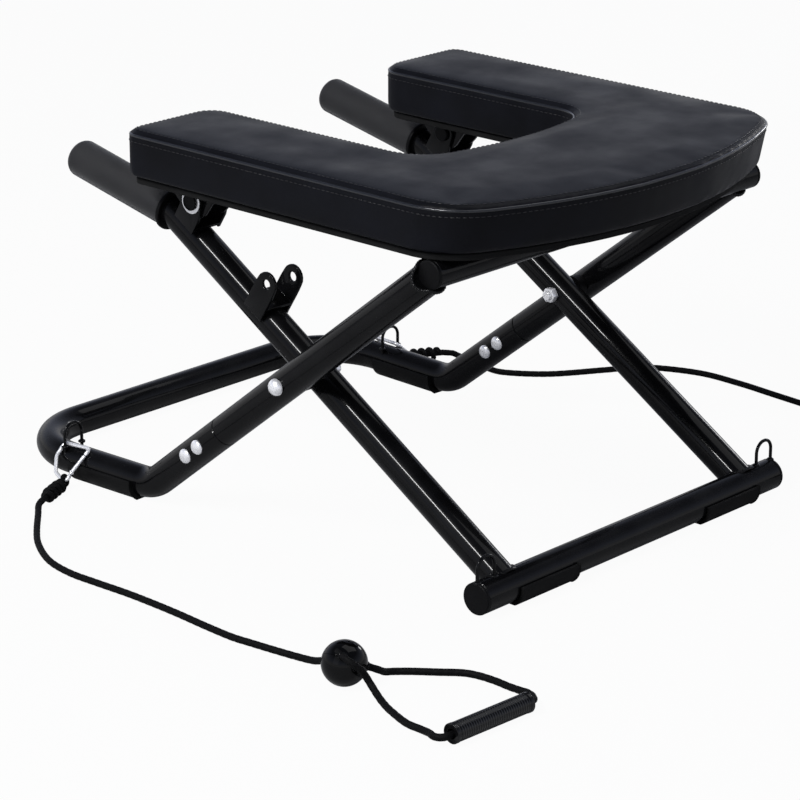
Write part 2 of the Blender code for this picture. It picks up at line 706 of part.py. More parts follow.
def make_rivets(body, zinc):
    seat = TUBE_RADIUS + GAP
    head = dome(RIVET_HEAD_RADIUS, RIVET_HEAD_HEIGHT, seat)
    tail = [(radius, -along) for radius, along in reversed(head)]
    profile = tail + [(RIVET_RADIUS, -seat), (RIVET_RADIUS, seat)] + head
    for side, sign in SIGN.items():
        for number, station in enumerate(RIVET_STATIONS, 1):
            name = f"arm_rivet_{side}{number}"
            place = ARM @ at(sign * ARM_X, station - ARM_PIVOT_TO_BEND)
            body.add(name, lathe_mesh(name, profile, SMALL_SIDES), zinc, place)


def make_rear_tube(body, steel, plastic):
    half = REAR_TUBE_LENGTH / 2 - CAP_FLANGE - GAP
    bore = REAR_TUBE_RADIUS - TUBE_WALL
    path = [Vector((-half, 0, 0)), Vector((half, 0, 0))]
    place = at(REAR_TUBE_SHIFT, REAR_TUBE.y, REAR_TUBE.z)
    body.add("rear_tube", tube_mesh("rear_tube", path, REAR_TUBE_RADIUS, bore), steel, place)
    for side, sign in SIGN.items():
        cap = cap_mesh("rear_cap_" + side, REAR_TUBE_RADIUS, bore)
        body.add("rear_cap_" + side, cap, plastic, place @ at(sign * (half + GAP)) @ FLIP[side])


def run_place(side, from_bend):
    """A frame on the floor tube's straight run, with X along the run to the front."""
    sign = SIGN[side]
    bend = Vector((sign * ARM_X, BEND_Y, AXIS_Z))
    corner = Vector((sign * FLOOR_CORNER_X, CORNER_Y, AXIS_Z))
    along = (corner - bend).normalized()
    place = bend + along * from_bend
    turn = Matrix.Rotation(math.atan2(along.y, along.x), 4, "Z")
    return Matrix.Translation(place) @ turn


def make_floor_feet(body, rubber):
    for side in SIGN:
        place = run_place(side, FLOOR_FOOT_FROM_BEND)
        foot = foot_mesh("floor_foot_" + side, FLOOR_FOOT_LENGTH)
        body.add("floor_foot_" + side, foot, rubber, place)


def make_floor_eyelets(body, steel):
    for side in SIGN:
        place = run_place(side, EYELET_FROM_BEND[side]) @ TURN_TO_Y
        make_eyelet(body, "floor_eyelet_" + side, steel, place, TURN_TO_Y)


# Seat

def inset_corners(corners, inset):
    """Move each edge of an anticlockwise outline in by inset, and keep its bends parallel."""
    moved = []
    for index, (place, radius) in enumerate(corners):
        into = (place - corners[index - 1][0]).normalized()
        out = (corners[(index + 1) % len(corners)][0] - place).normalized()
        first = Vector((-into.y, into.x, 0))
        second = Vector((-out.y, out.x, 0))
        shift = (first + second) * (inset / (1 + first.dot(second)))
        outward = into.cross(out).z > 0
        bend = radius - inset if outward else radius + inset
        moved.append((place + shift, max(bend, SMALLEST_CORNER)))
    return moved


def arc_corner(apex, radius, slope):
    """Height of the corner whose rounding by radius just reaches apex."""
    return apex + radius * (1 / math.cos(slope) - 1)


def seat_outline(inset, lean=0.0):
    """The U outline, as points on the floor plane, with its rear edge pulled in by lean."""
    rear_tip = arc_corner(BASE_Y + CUSHION_REAR_OVERHANG - lean, CUSHION_REAR_RADIUS, CUSHION_REAR_SLOPE)
    rear_side = rear_tip - CUSHION_HALF_WIDTH * math.tan(CUSHION_REAR_SLOPE)
    front = BASE_Y - CUSHION_FRONT_FROM_BASE
    slot_tip = arc_corner(BASE_Y - SLOT_END_FROM_BASE, SLOT_END_RADIUS, SLOT_END_SLOPE)
    slot_side = slot_tip - SLOT_HALF_WIDTH * math.tan(SLOT_END_SLOPE)
    outline = [
        (CUSHION_HALF_WIDTH, rear_side, CUSHION_REAR_CORNER), (0, rear_tip, CUSHION_REAR_RADIUS),
        (-CUSHION_HALF_WIDTH, rear_side, CUSHION_REAR_CORNER),
        (-CUSHION_HALF_WIDTH, front, CUSHION_FRONT_CORNER), (-SLOT_HALF_WIDTH, front, SLOT_MOUTH_CORNER),
        (-SLOT_HALF_WIDTH, slot_side, SLOT_CORNER), (0, slot_tip, SLOT_END_RADIUS),
        (SLOT_HALF_WIDTH, slot_side, SLOT_CORNER), (SLOT_HALF_WIDTH, front, SLOT_MOUTH_CORNER),
        (CUSHION_HALF_WIDTH, front, CUSHION_FRONT_CORNER)]
    corners = [(Vector((x, y, 0)), radius) for x, y, radius in outline]
    return filleted(inset_corners(corners, inset), closed=True)


def make_seat(body, leather, wood):
    seam = CUSHION_BOTTOM + CUSHION_SIDE
    edge = CUSHION_CROWN
    cushion = layered_mesh("pad_cushion", [
        (seat_outline(CUSHION_BOTTOM_INSET, CUSHION_REAR_LEAN), CUSHION_BOTTOM),
        (seat_outline(0, CUSHION_REAR_LEAN * 0.7), CUSHION_BOTTOM + edge),
        (seat_outline(0), seam),
        (seat_outline(edge), seam + edge * 0.6),
        (seat_outline(edge * 2.5), seam + edge)])
    body.add("pad_cushion", cushion, leather, FLOOR)
    board_outline = seat_outline(BOARD_INSET, CUSHION_REAR_LEAN)
    board = layered_mesh("pad_board", [
        (board_outline, BOARD_BOTTOM), (board_outline, BOARD_BOTTOM + BOARD_THICKNESS)])
    body.add("pad_board", board, wood, FLOOR)


def make_seat_hinges(body, steel, cap, chrome):
    """Under each horn of the seat: a flange with two cheeks, on a pin through the leg's bracket."""
    hinge = HINGE.translation
    flange_top = BOARD_BOTTOM - GAP - hinge.z
    flange_low = flange_top - SEAT_FLANGE_THICKNESS
    cheek_outer = TUBE_RADIUS
    cheek_inner = cheek_outer - CHEEK_PLATE
    ear_outer = TUBE_RADIUS + GAP + BRACKET_PLATE
    section = [
        (-SEAT_FLANGE_HALF_WIDTH, flange_low), (-cheek_outer, flange_low),
        (-cheek_outer, -CHEEK_EYE_RADIUS), (-cheek_inner, -CHEEK_EYE_RADIUS),
        (-cheek_inner, flange_low), (cheek_inner, flange_low),
        (cheek_inner, -CHEEK_EYE_RADIUS), (cheek_outer, -CHEEK_EYE_RADIUS), (cheek_outer, flange_low),
        (SEAT_FLANGE_HALF_WIDTH, flange_low), (SEAT_FLANGE_HALF_WIDTH, flange_top),
        (-SEAT_FLANGE_HALF_WIDTH, flange_top)]
    side_view = hull_outline(
        [(-SEAT_FLANGE_FRONT, flange_low), (SEAT_FLANGE_REAR, flange_low), (-SEAT_FLANGE_FRONT, flange_top),
         (SEAT_FLANGE_REAR, flange_top)] + circle_points(0, 0, CHEEK_EYE_RADIUS))
    reach = SEAT_FLANGE_FRONT + SEAT_FLANGE_REAR
    washer_seat = ear_outer + GAP
    cap_seat = washer_seat + WASHER_THICKNESS + GAP
    tail = -ear_outer - GAP
    pin_profile = [
        (0, tail - PIN_TAIL_HEIGHT), (HINGE_CAP_RADIUS, tail - PIN_TAIL_HEIGHT), (HINGE_CAP_RADIUS, tail),
        (HINGE_PIN_RADIUS, tail), (HINGE_PIN_RADIUS, cap_seat)]
    pin_profile += dome(HINGE_CAP_RADIUS, HINGE_CAP_HEIGHT, cap_seat)
    hole = HINGE_PIN_RADIUS + BOLT_PLAY
    washer_profile = [
        (hole, washer_seat), (WASHER_RADIUS, washer_seat), (WASHER_RADIUS, washer_seat + WASHER_THICKNESS),
        (hole, washer_seat + WASHER_THICKNESS)]
    for side, sign in SIGN.items():
        place = HINGE @ at(sign * LEG_X)
        name = "pad_bracket_" + side
        piece = body.add(name, plate_mesh(name, section, -reach, reach), steel, place @ TURN_TO_Y)
        shape_name = name + "_shape_cutter"
        shape = plate_mesh(shape_name, side_view, -2 * SEAT_FLANGE_HALF_WIDTH, 2 * SEAT_FLANGE_HALF_WIDTH)
        boolean(piece, body.cutter(shape_name, shape, place), "INTERSECT")
        hole_name = name + "_hole_cutter"
        bore = cylinder_mesh(hole_name, hole, -2 * cheek_outer, 2 * cheek_outer)
        boolean(piece, body.cutter(hole_name, bore, place))
        pin = lathe_mesh("hinge_pin_" + side, pin_profile, SMALL_SIDES)
        body.add("hinge_pin_" + side, pin, cap, place @ FLIP[side])
        washer = lathe_mesh("hinge_washer_" + side, washer_profile)
        body.add("hinge_washer_" + side, washer, chrome, place @ FLIP[side])


# Pull cords

def hook_frame(side):
    """A frame against the outside of the floor tube: X along the tube, Y down the hook's plane."""
    run = run_place(side, EYELET_FROM_BEND[side])
    front, left = (run.col[column].to_3d() * SIGN[side] for column in (0, 1))
    upright = Vector((0, 0, 1))
    down = left * math.cos(HOOK_LEAN) - upright * math.sin(HOOK_LEAN)
    away = left * math.sin(HOOK_LEAN) + upright * math.cos(HOOK_LEAN)
    along = -front
    origin = run.translation + away * (TUBE_RADIUS + HOOK_WIRE + GAP)
    frame = Matrix.Identity(4)
    for column, axis in enumerate((along, down, along.cross(down), origin)):
        for row in range(3):
            frame[row][column] = axis[row]
    return frame


def hook_path():
    """Middle line of the carabiner's wire, from its hinge round to its nose."""
    return filleted([(Vector((x, y, 0)), radius) for x, y, radius in HOOK_BODY])


def make_hook(cords, gate, side, zinc):
    path = hook_path()
    name = "carabiner_" + side
    cords.add(name, rod_mesh(name, path, HOOK_WIRE), zinc, hook_frame(side))
    hinge, nose = path[0], path[-1]
    spare = (nose - hinge).normalized() * CORD_GAP
    name = "carabiner_gate_" + side
    gate.add(name, rod_mesh(name, [hinge + spare, nose - spare], HOOK_WIRE), zinc, hook_frame(side))


def smooth_route(points, spacing):
    """Even steps along a Catmull-Rom curve through the points."""
    places = [Vector(point) for point in points]
    padded = [places[0] * 2 - places[1]] + places + [places[-1] * 2 - places[-2]]
    fine = []
    for before, start, end, after in zip(padded, padded[1:], padded[2:], padded[3:]):
        for step in range(CURVE_STEPS):
            t = step / CURVE_STEPS
            fine.append(0.5 * (
                2 * start + (end - before) * t + (2 * before - 5 * start + 4 * end - after) * t ** 2
                + (3 * start - before - 3 * end + after) * t ** 3))
    fine.append(places[-1])
    lengths = [0.0]
    for first, second in zip(fine, fine[1:]):
        lengths.append(lengths[-1] + (second - first).length)
    count = max(2, round(lengths[-1] / spacing))
    route = []
    index = 0
    for step in range(count + 1):
        goal = lengths[-1] * step / count
        while index < len(fine) - 2 and lengths[index + 1] < goal:
            index += 1
        share = (goal - lengths[index]) / (lengths[index + 1] - lengths[index])
        route.append(fine[index].lerp(fine[index + 1], share))
    return route


def cord_curve(name, route):
    curve = bpy.data.curves.new(name, "CURVE")
    curve.dimensions = "3D"
    curve.bevel_depth = CORD_RADIUS
    curve.bevel_resolution = 2
    curve.use_fill_caps = True
    spline = curve.splines.new("POLY")
    spline.points.add(len(route) - 1)
    for point, place in zip(spline.points, route):
        point.co = (*place, 1.0)
    return curve


def ball_mesh(name):
    bm = bmesh.new()
    bmesh.ops.create_icosphere(bm, subdivisions=2, radius=BALL_RADIUS)
    return to_mesh(name, bm)


def drill_ball(body, ball, number, end, before):
    """A blind hole in the ball for the end of a cord that arrives from before."""
    name = f"{ball.name}_cutter{number}"
    mesh = cylinder_mesh(name, CORD_RADIUS + GAP, -BALL_RADIUS, GAP, SMALL_SIDES)
    turn = Vector((1, 0, 0)).rotation_difference(end - before).to_matrix().to_4x4()
    boolean(ball, body.cutter(name, mesh, Matrix.Translation(end) @ turn))


def make_cord(cords, side, rope, plastic, gloss):
    """Knot, cord, stopper ball, loop and pull handle of one side, lying on the floor."""
    sign = SIGN[side]
    toward = Vector((math.cos(KNOT_TURN[side]), math.sin(KNOT_TURN[side]), 0))
    tip = (HOOK_BODY[1][1] + HOOK_BODY[2][1]) / 2
    bend = max((hook_frame(side) @ point for point in hook_path() if point.y > tip), key=toward.dot)
    knot_start = Vector((bend.x, bend.y, KNOT_RADIUS + GAP)) + toward * (HOOK_WIRE + GAP)
    knot_profile = [(KNOT_RADIUS * across, KNOT_LENGTH * along) for across, along in KNOT_PROFILE]
    name = "cord_knot_" + side
    place = Matrix.Translation(knot_start) @ Matrix.Rotation(KNOT_TURN[side], 4, "Z")
    cords.add(name, lathe_mesh(name, knot_profile, SMALL_SIDES), rope, place)

    ball_x, ball_y = BALL_PLACE[side]
    start = knot_start + toward * (KNOT_LENGTH + CORD_GAP)
    lead = start + toward * CORD_LEAD
    lead.z = (start.z + CORD_ROUTE[side][0][2]) / 2
    arrival = [(ball_x + x, ball_y + y, z) for x, y, z in CORD_TO_BALL]
    cord = smooth_route([start, lead, *CORD_ROUTE[side], *arrival], CORD_SPACING)
    cords.add("pull_cord_" + side, cord_curve("pull_cord_" + side, cord), rope, FLOOR)
    loop_points = [(ball_x + sign * x, ball_y + y, z) for x, y, z in LOOP_ROUTE]
    loop = smooth_route(loop_points, CORD_SPACING / 2)
    cords.add("pull_loop_" + side, cord_curve("pull_loop_" + side, loop), rope, FLOOR)
    name = "cord_ball_" + side
    ball = cords.add(name, ball_mesh(name), gloss, at(ball_x, ball_y, BALL_RADIUS))
    ends = ((cord[-1], cord[-2]), (loop[0], loop[1]), (loop[-1], loop[-2]))
    for number, (end, before) in enumerate(ends):
        drill_ball(cords, ball, number, end, before)

    half = PULL_LENGTH / 2
    rim = half - PULL_RIM_WIDTH
    grip = rim - PULL_RIM_SLOPE
    profile = [
        (PULL_BORE, -half), (PULL_RIM, -half), (PULL_RIM, -rim), (PULL_RADIUS, -grip),
        (PULL_RADIUS, grip), (PULL_RIM, rim), (PULL_RIM, half), (PULL_BORE, half)]
    place = at(ball_x + sign * PULL_FROM_BALL[0], ball_y + PULL_FROM_BALL[1], PULL_RIM)
    place = place @ Matrix.Rotation(sign * PULL_TURN, 4, "Z")
    name = "pull_handle_" + side
    cords.add(name, lathe_mesh(name, profile, SMALL_SIDES), plastic, place)


def main():
    for old in list(bpy.data.objects):
        bpy.data.objects.remove(old, do_unlink=True)
    steel = finish("powder_coat", (0.012, 0.012, 0.013), 0.22)
    plastic = finish("black_plastic", (0.015, 0.015, 0.016), 0.45)
    gloss = finish("gloss_plastic", (0.015, 0.015, 0.016), 0.15)
    rubber = finish("black_rubber", (0.014, 0.014, 0.014), 0.7)
    foam = finish("grip_foam", (0.016, 0.016, 0.017), 0.75)
    zinc = finish("zinc", (0.75, 0.75, 0.76), 0.28, 1.0)
    chrome = finish("chrome", (0.86, 0.86, 0.87), 0.12, 1.0)
    leather = finish("seat_leather", (0.014, 0.016, 0.021), 0.42)
    wood = finish("seat_board", (0.02, 0.02, 0.02), 0.8)
    rope = finish("braided_cord", (0.01, 0.01, 0.01), 0.8)

    arms = Body("arm_frame", ARM)
    make_floor_tube(arms, steel)
    make_arms(arms, steel)
    make_rivets(arms, zinc)
    make_rear_tube(arms, steel, plastic)
    make_floor_feet(arms, rubber)
    make_floor_eyelets(arms, steel)

    legs = Body("leg_frame", LEG, arms)
    make_legs(legs, steel)
    make_grips(legs, foam, plastic)
    make_base(legs, steel, plastic, rubber)
    make_leg_brackets(legs, steel)
    make_pivots(legs, zinc, plastic)

    seat = Body("seat", HINGE, legs)
    make_seat(seat, leather, wood)
    make_seat_hinges(seat, steel, plastic, chrome)

    for side in SIGN:
        gate_frame = hook_frame(side) @ at(HOOK_BODY[0][0], HOOK_BODY[0][1])
        gate = Body("gate_" + side, gate_frame, arms)
        make_hook(arms, gate, side, zinc)
        make_cord(arms, side, rope, plastic, gloss)


main()
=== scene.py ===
"""Folding yoga chair: how it looks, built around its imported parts.

Each piece stands for the CAD node it is named after, or is a detail that rides on one body.
Metres, +Z up, +X to the chair's right side, +Y to its rear. The sizes are the CAD part's own.
"""
import json
from math import asin, atan2, ceil, cos, pi, radians, sin, sqrt, tan

import bmesh
import bpy
from mathutils import Matrix, Vector, noise
from mathutils.bvhtree import BVHTree
from mathutils.kdtree import KDTree
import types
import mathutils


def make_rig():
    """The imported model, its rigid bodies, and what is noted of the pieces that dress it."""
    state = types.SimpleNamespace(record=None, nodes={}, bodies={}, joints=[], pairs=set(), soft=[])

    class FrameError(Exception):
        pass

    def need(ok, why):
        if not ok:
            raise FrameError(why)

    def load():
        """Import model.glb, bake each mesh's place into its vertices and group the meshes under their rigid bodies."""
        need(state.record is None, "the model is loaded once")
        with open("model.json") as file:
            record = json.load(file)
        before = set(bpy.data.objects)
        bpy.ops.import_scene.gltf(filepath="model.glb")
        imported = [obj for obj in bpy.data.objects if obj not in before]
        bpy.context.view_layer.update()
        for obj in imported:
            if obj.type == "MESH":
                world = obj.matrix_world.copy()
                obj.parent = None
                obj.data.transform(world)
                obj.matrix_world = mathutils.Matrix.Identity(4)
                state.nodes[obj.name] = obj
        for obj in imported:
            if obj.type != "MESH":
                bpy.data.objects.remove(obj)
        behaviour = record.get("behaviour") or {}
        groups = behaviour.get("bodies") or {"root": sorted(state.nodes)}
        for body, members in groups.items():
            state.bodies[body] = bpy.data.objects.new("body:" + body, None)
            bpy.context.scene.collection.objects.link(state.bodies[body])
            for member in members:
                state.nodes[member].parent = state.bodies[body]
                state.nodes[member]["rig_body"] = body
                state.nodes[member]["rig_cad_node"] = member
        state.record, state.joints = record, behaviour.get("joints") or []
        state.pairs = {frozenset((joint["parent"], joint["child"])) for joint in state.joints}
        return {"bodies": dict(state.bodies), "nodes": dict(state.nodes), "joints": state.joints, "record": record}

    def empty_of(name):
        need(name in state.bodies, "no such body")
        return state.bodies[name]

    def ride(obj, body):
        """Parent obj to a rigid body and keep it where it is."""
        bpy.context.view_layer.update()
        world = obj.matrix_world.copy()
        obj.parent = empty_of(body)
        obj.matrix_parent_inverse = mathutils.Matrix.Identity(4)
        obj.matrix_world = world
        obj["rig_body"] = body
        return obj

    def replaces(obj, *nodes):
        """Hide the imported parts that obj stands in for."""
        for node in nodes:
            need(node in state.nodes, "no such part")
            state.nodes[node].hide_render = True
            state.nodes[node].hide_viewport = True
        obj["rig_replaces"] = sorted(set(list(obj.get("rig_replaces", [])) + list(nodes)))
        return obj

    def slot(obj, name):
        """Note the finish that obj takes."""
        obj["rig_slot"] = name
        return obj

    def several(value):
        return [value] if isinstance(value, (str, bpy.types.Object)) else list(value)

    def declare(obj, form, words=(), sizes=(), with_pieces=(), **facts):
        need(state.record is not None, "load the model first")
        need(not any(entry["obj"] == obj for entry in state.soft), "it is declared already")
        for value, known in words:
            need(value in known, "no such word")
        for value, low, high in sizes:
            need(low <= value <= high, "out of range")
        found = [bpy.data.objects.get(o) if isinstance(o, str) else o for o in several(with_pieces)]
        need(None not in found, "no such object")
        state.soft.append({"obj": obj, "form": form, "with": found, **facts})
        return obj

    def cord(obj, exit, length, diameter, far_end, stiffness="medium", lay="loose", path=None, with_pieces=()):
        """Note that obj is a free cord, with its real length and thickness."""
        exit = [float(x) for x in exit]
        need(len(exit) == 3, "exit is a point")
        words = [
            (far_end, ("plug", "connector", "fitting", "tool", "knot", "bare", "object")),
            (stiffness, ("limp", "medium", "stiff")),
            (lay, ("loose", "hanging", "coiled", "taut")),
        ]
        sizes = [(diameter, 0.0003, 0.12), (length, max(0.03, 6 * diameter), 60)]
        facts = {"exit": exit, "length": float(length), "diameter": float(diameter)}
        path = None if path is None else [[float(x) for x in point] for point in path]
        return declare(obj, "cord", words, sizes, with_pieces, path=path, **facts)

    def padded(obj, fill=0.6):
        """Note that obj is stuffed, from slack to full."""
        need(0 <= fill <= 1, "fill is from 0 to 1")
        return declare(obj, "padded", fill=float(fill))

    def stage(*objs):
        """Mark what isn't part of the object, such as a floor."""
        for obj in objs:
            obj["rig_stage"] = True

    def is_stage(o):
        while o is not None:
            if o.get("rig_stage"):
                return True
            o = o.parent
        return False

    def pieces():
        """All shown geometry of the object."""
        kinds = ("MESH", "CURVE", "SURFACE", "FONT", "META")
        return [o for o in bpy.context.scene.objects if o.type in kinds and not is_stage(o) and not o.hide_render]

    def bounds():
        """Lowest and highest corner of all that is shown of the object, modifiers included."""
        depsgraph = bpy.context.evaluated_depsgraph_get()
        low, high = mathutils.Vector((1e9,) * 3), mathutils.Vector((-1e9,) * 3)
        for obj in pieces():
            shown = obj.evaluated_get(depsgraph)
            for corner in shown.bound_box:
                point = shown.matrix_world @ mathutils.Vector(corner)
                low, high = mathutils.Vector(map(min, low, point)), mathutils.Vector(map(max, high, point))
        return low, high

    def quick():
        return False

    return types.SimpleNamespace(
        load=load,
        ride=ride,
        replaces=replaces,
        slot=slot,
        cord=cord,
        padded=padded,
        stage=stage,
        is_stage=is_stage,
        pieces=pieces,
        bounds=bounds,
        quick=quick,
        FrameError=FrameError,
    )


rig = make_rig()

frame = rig.load()
size_at_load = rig.bounds()

# Fineness
TUBE_SIDES = 48
WIRE_SIDES = 16
ROPE_SIDES = 24
ROPE_STEP = 0.001
ARC_STEP = radians(3.0)

# Main tubes
GAP = 0.0003
TUBE_RADIUS = 0.014
AXIS_Z = 0.016
FOOT_WALL = 0.0035
FOOT_WRAP = radians(200.0)
LEG_TILT = radians(32.16)
LEG_X = 0.1609
LEG_FOOT_TO_PIVOT = 0.2542
LEG_PIVOT_TO_BEND = 0.2058
HANDLE_TILT = radians(12.3)
HANDLE_BEND_RADIUS = 0.030
LEG_TRIM = 0.006
BASE_TUBE_LENGTH = 0.400
BASE_Y = 0.2705126
BASE_FOOT_LENGTH = 0.072
BASE_FOOT_FROM_LEG = 0.0009
BASE_EYELET_FROM_END = 0.0123
CAP_FLANGE = 0.003
CAP_PLUG = 0.012
TUBE_WALL = 0.0015
SADDLE_BITE = 0.0004
EDGE = 0.0005
WELD_STEP = 0.0008
WELD_PITCH = 0.0026
WELD_WAVE = 0.22
WELD_LUMPS = 0.08

# Foam grips
GRIP_RADIUS = 0.017
GRIP_LENGTH = 0.1222
GRIP_FROM_BEND = 0.0065
GRIP_END_ROUND = 0.008
COLLAR_RADIUS = 0.019
COLLAR_THICKNESS = 0.004

# Arm frame
ARM_TILT = radians(38.3)
ARM_X = 0.1975
ARM_PIVOT_TO_REAR = 0.2117
ARM_TRIM = 0.005
REAR_TUBE_RADIUS = 0.0125
REAR_TUBE_LENGTH = 0.4228
REAR_TUBE_SHIFT = -0.0064
SPIGOT_LENGTH = 0.006
SPIGOT_STEP = 0.0014
SOCKET_LENGTH = 0.119
FLOOR_RUN = 0.1773
FLOOR_CORNER_X = 0.2049
FLOOR_CORNER_RADIUS = 0.071
FLOOR_BEND_RADIUS = 0.038
FLOOR_FOOT_FROM_BEND = 0.0535
FLOOR_FOOT_LENGTH = 0.080
EYELET_WIRE = 0.0015
EYELET_HALF_WIDTH = 0.0105
EYELET_HEIGHT = 0.022
EYELET_CORNER = 0.010
EYELET_ROOT = 0.009
EYELET_FROM_BEND = {"r": 0.1025, "l": 0.0845}

# Fasteners
BOLT_RADIUS = 0.004
BOLT_HEAD_RADIUS = 0.0075
BOLT_HEAD_HEIGHT = 0.006
BOLT_TAIL = 0.003
BOLT_SHANK_FROM_TAIL = 0.0145
THREAD_TURNS = 16
THREAD_PITCH = 0.0008
THREAD_DEPTH = 0.0003
SPACER_RADIUS = 0.011
NUT_HEIGHT = 0.0065
RIVET_RADIUS = 0.003
RIVET_HEAD_RADIUS = 0.0066
RIVET_HEAD_HEIGHT = 0.0034
RIVET_STATIONS = (0.0715, 0.0907)
HINGE_FROM_PIVOT = 0.1825
SPARE_FROM_PIVOT = 0.0769
BRACKET_PLATE = 0.003
BRACKET_EYE_HEIGHT = 0.038
HINGE_BASE = (-0.0145, 0.0100)
SPARE_BASE = (-0.0115, 0.0115)
SPARE_SKIRT = 0.005
HINGE_PIN_RADIUS = 0.004
HINGE_CAP_RADIUS = 0.0076
HINGE_CAP_HEIGHT = 0.0016
HINGE_CAP_DISH = 0.0005
WASHER_RADIUS = 0.0108
WASHER_THICKNESS = 0.0016
PIN_TAIL_HEIGHT = 0.003
SEAT_FLANGE_THICKNESS = 0.003
SEAT_FLANGE_HALF_WIDTH = 0.024
SEAT_FLANGE_FRONT = 0.0355
SEAT_FLANGE_REAR = 0.0295
SCREW_PROFILE = (
    (0, 0.003, 0), (0.0038, 0.003, 0.0002), (0.0036, -0.001, 0.001), (0.0012, -0.0021, 0.0005),
    (0.0011, -0.0012, 0.0002), (0, -0.0011, 0),
)

# Seat
BOARD_BOTTOM = 0.2953142
BOARD_THICKNESS = 0.0055
BOARD_INSET = 0.006
CUSHION_BOTTOM = 0.3011142
CUSHION_SIDE = 0.0378
CUSHION_BOTTOM_INSET = 0.003
CUSHION_HALF_WIDTH = 0.213
CUSHION_REAR_OVERHANG = 0.0368
CUSHION_REAR_SLOPE = radians(23.36)
CUSHION_REAR_RADIUS = 0.405
CUSHION_REAR_CORNER = 0.060
CUSHION_REAR_LEAN = 0.009
CUSHION_FRONT_FROM_BASE = 0.3985
CUSHION_FRONT_CORNER = 0.014
SLOT_HALF_WIDTH = 0.106
SLOT_END_FROM_BASE = 0.1339
SLOT_END_SLOPE = radians(11.98)
SLOT_END_RADIUS = 0.355
SLOT_CORNER = 0.035
SLOT_MOUTH_CORNER = 0.024
SMALLEST_CORNER = 0.001
SEAM_Z = CUSHION_BOTTOM + CUSHION_SIDE
COVER_INSET = 0.0004
CROWN_LAYERS = (
    (COVER_INSET, 0.0), (COVER_INSET, 0.0013), (0.0018, 0.0028), (0.0038, 0.0042),
    (0.0070, 0.0052), (0.014, 0.0058), (0.030, 0.0062),
)
COVER_VOXEL = 0.0040
PRESS_FRAMES = 20
PRESS_LIMIT = 0.0015
PIPING_RADIUS = 0.0013
STITCH_ROWS = ((0.0055, 0.006), (-0.002, -0.005))
STITCH_PITCH = 0.0052
STITCH_SIZE = (0.0019, 0.0004, 0.0003)
STITCH_LIFT = 0.0002
STAPLE_FROM_EDGE = 0.006
STAPLE_PITCH = 0.022
STAPLE_SIZE = (0.010, 0.0007, 0.0007)

# Pull cords
HOOK_WIRE = 0.00175
GATE_WIRE = 0.00168
GATE_PIN_RADIUS = 0.0011
GATE_PIN_HALF = 0.0024
GATE_PIN_FROM_END = 0.0026
HOOK_LEAN = radians(40.9)
CORD_GAP = 0.0006
KNOT_LENGTH = 0.042
KNOT_RADIUS = 0.007
KNOT_STRAND = 0.0026
KNOT_TURNS = 4.6
KNOT_TAPER = 0.14
KNOT_MARGIN = 0.002
EYE_STRAND = 0.0021
EYE_WRAP = radians(125.0)
CORD_RADIUS = 0.003
CORD_LEAD = 0.0104
BRAID_STRANDS = 4
BRAID_DEPTH = 0.045
BRAID_PITCH = 0.0085
FINE_PITCH = 0.006
BALL_RADIUS = 0.0185
BALL_SEAM = (-0.627, -0.159, 0.763)
BALL_GROOVE = 0.0004
BALL_HOLE_PROFILE = (
    (0.0029, -0.0012, 0), (0.0039, -0.0012, 0.0004), (0.0037, 0.0003, 0.0004),
    (0.0030, 0.0003, 0.0002),
)
PULL_RADIUS = 0.008
PULL_BORE = 0.0042
PULL_RIM = 0.0083
PULL_RIM_WIDTH = 0.003
PULL_LENGTH = 0.082
PULL_RIBS = 30
PULL_RIB_DEPTH = 0.0003
PULL_RIB_FROM_RIM = 0.001
BALL_PLACE = {"r": (0.368, 0.284), "l": (-0.384, 0.262)}
PULL_FROM_BALL = (-0.0182, 0.1344)
PULL_TURN = radians(-3.3)
HOOK_BODY = (
    (0.0231, 0.0224, 0.0), (0.0255, 0.0322, 0.004), (0.0060, 0.0245, 0.010),
    (-0.0043, 0.0090, 0.010), (-0.0043, -0.0053, 0.004), (0.0275, -0.0075, 0.004),
    (0.0260, 0.0005, 0.0),
)
ON_FLOOR = 3.2
KNOT_TURN = {"r": radians(24.0), "l": radians(150.0)}
CORD_ROUTE = {
    "r": (
        (297, -159, 3.7), (321, -133), (339, -111), (354, -86), (363, -63), (367, -35), (366, -6),
        (364, 31), (364, 64), (365, 95), (367, 127), (368, 158), (366, 178), (363, 203),
        (360, 224),
    ),
    "l": (
        (-285, -187, 3.8), (-281, -165), (-276, -138), (-278, -115), (-305, -79), (-352, -47),
        (-385, -24), (-408, 26), (-410, 75), (-406, 123), (-402, 168), (-397, 202, 3.6),
    ),
}
CORD_TO_BALL = ((-8.5, -42, 5), (-7.3, -29.5, 9.2), (-3.7, -13.8, 14.5))
LOOP_ROUTE = (
    (-11.5, 9.3, 15.9), (-22.5, 15.5, 10), (-31, 14, 5.2), (-40, 16.5, 3.3), (-50, 27), (-62, 42),
    (-74, 57), (-78.5, 70), (-79.5, 86, 3.4), (-77.5, 101, 4.2), (-75.5, 114, 5.6),
    (-74.5, 124, 6.6), (-70, 132.5, 7.3), (-61, 136.8, 7.5), (-18.2, 134.4, 7.5), (22.5, 132, 7.5),
    (30.5, 129.5, 7.3), (32, 123, 6.6), (27.5, 114.5, 5), (24.8, 103, 3.6), (23.5, 87), (15.7, 64),
    (10, 51.5), (4.8, 40.5, 4.5), (1.2, 30, 9), (2.5, 25.8, 15.1), (6.2, 23.8, 21.6),
    (10.5, 19.6, 26.7), (11.9, 13.6, 29.4), (10.7, 7.3, 30.4), (9.4, 1, 31.5),
)

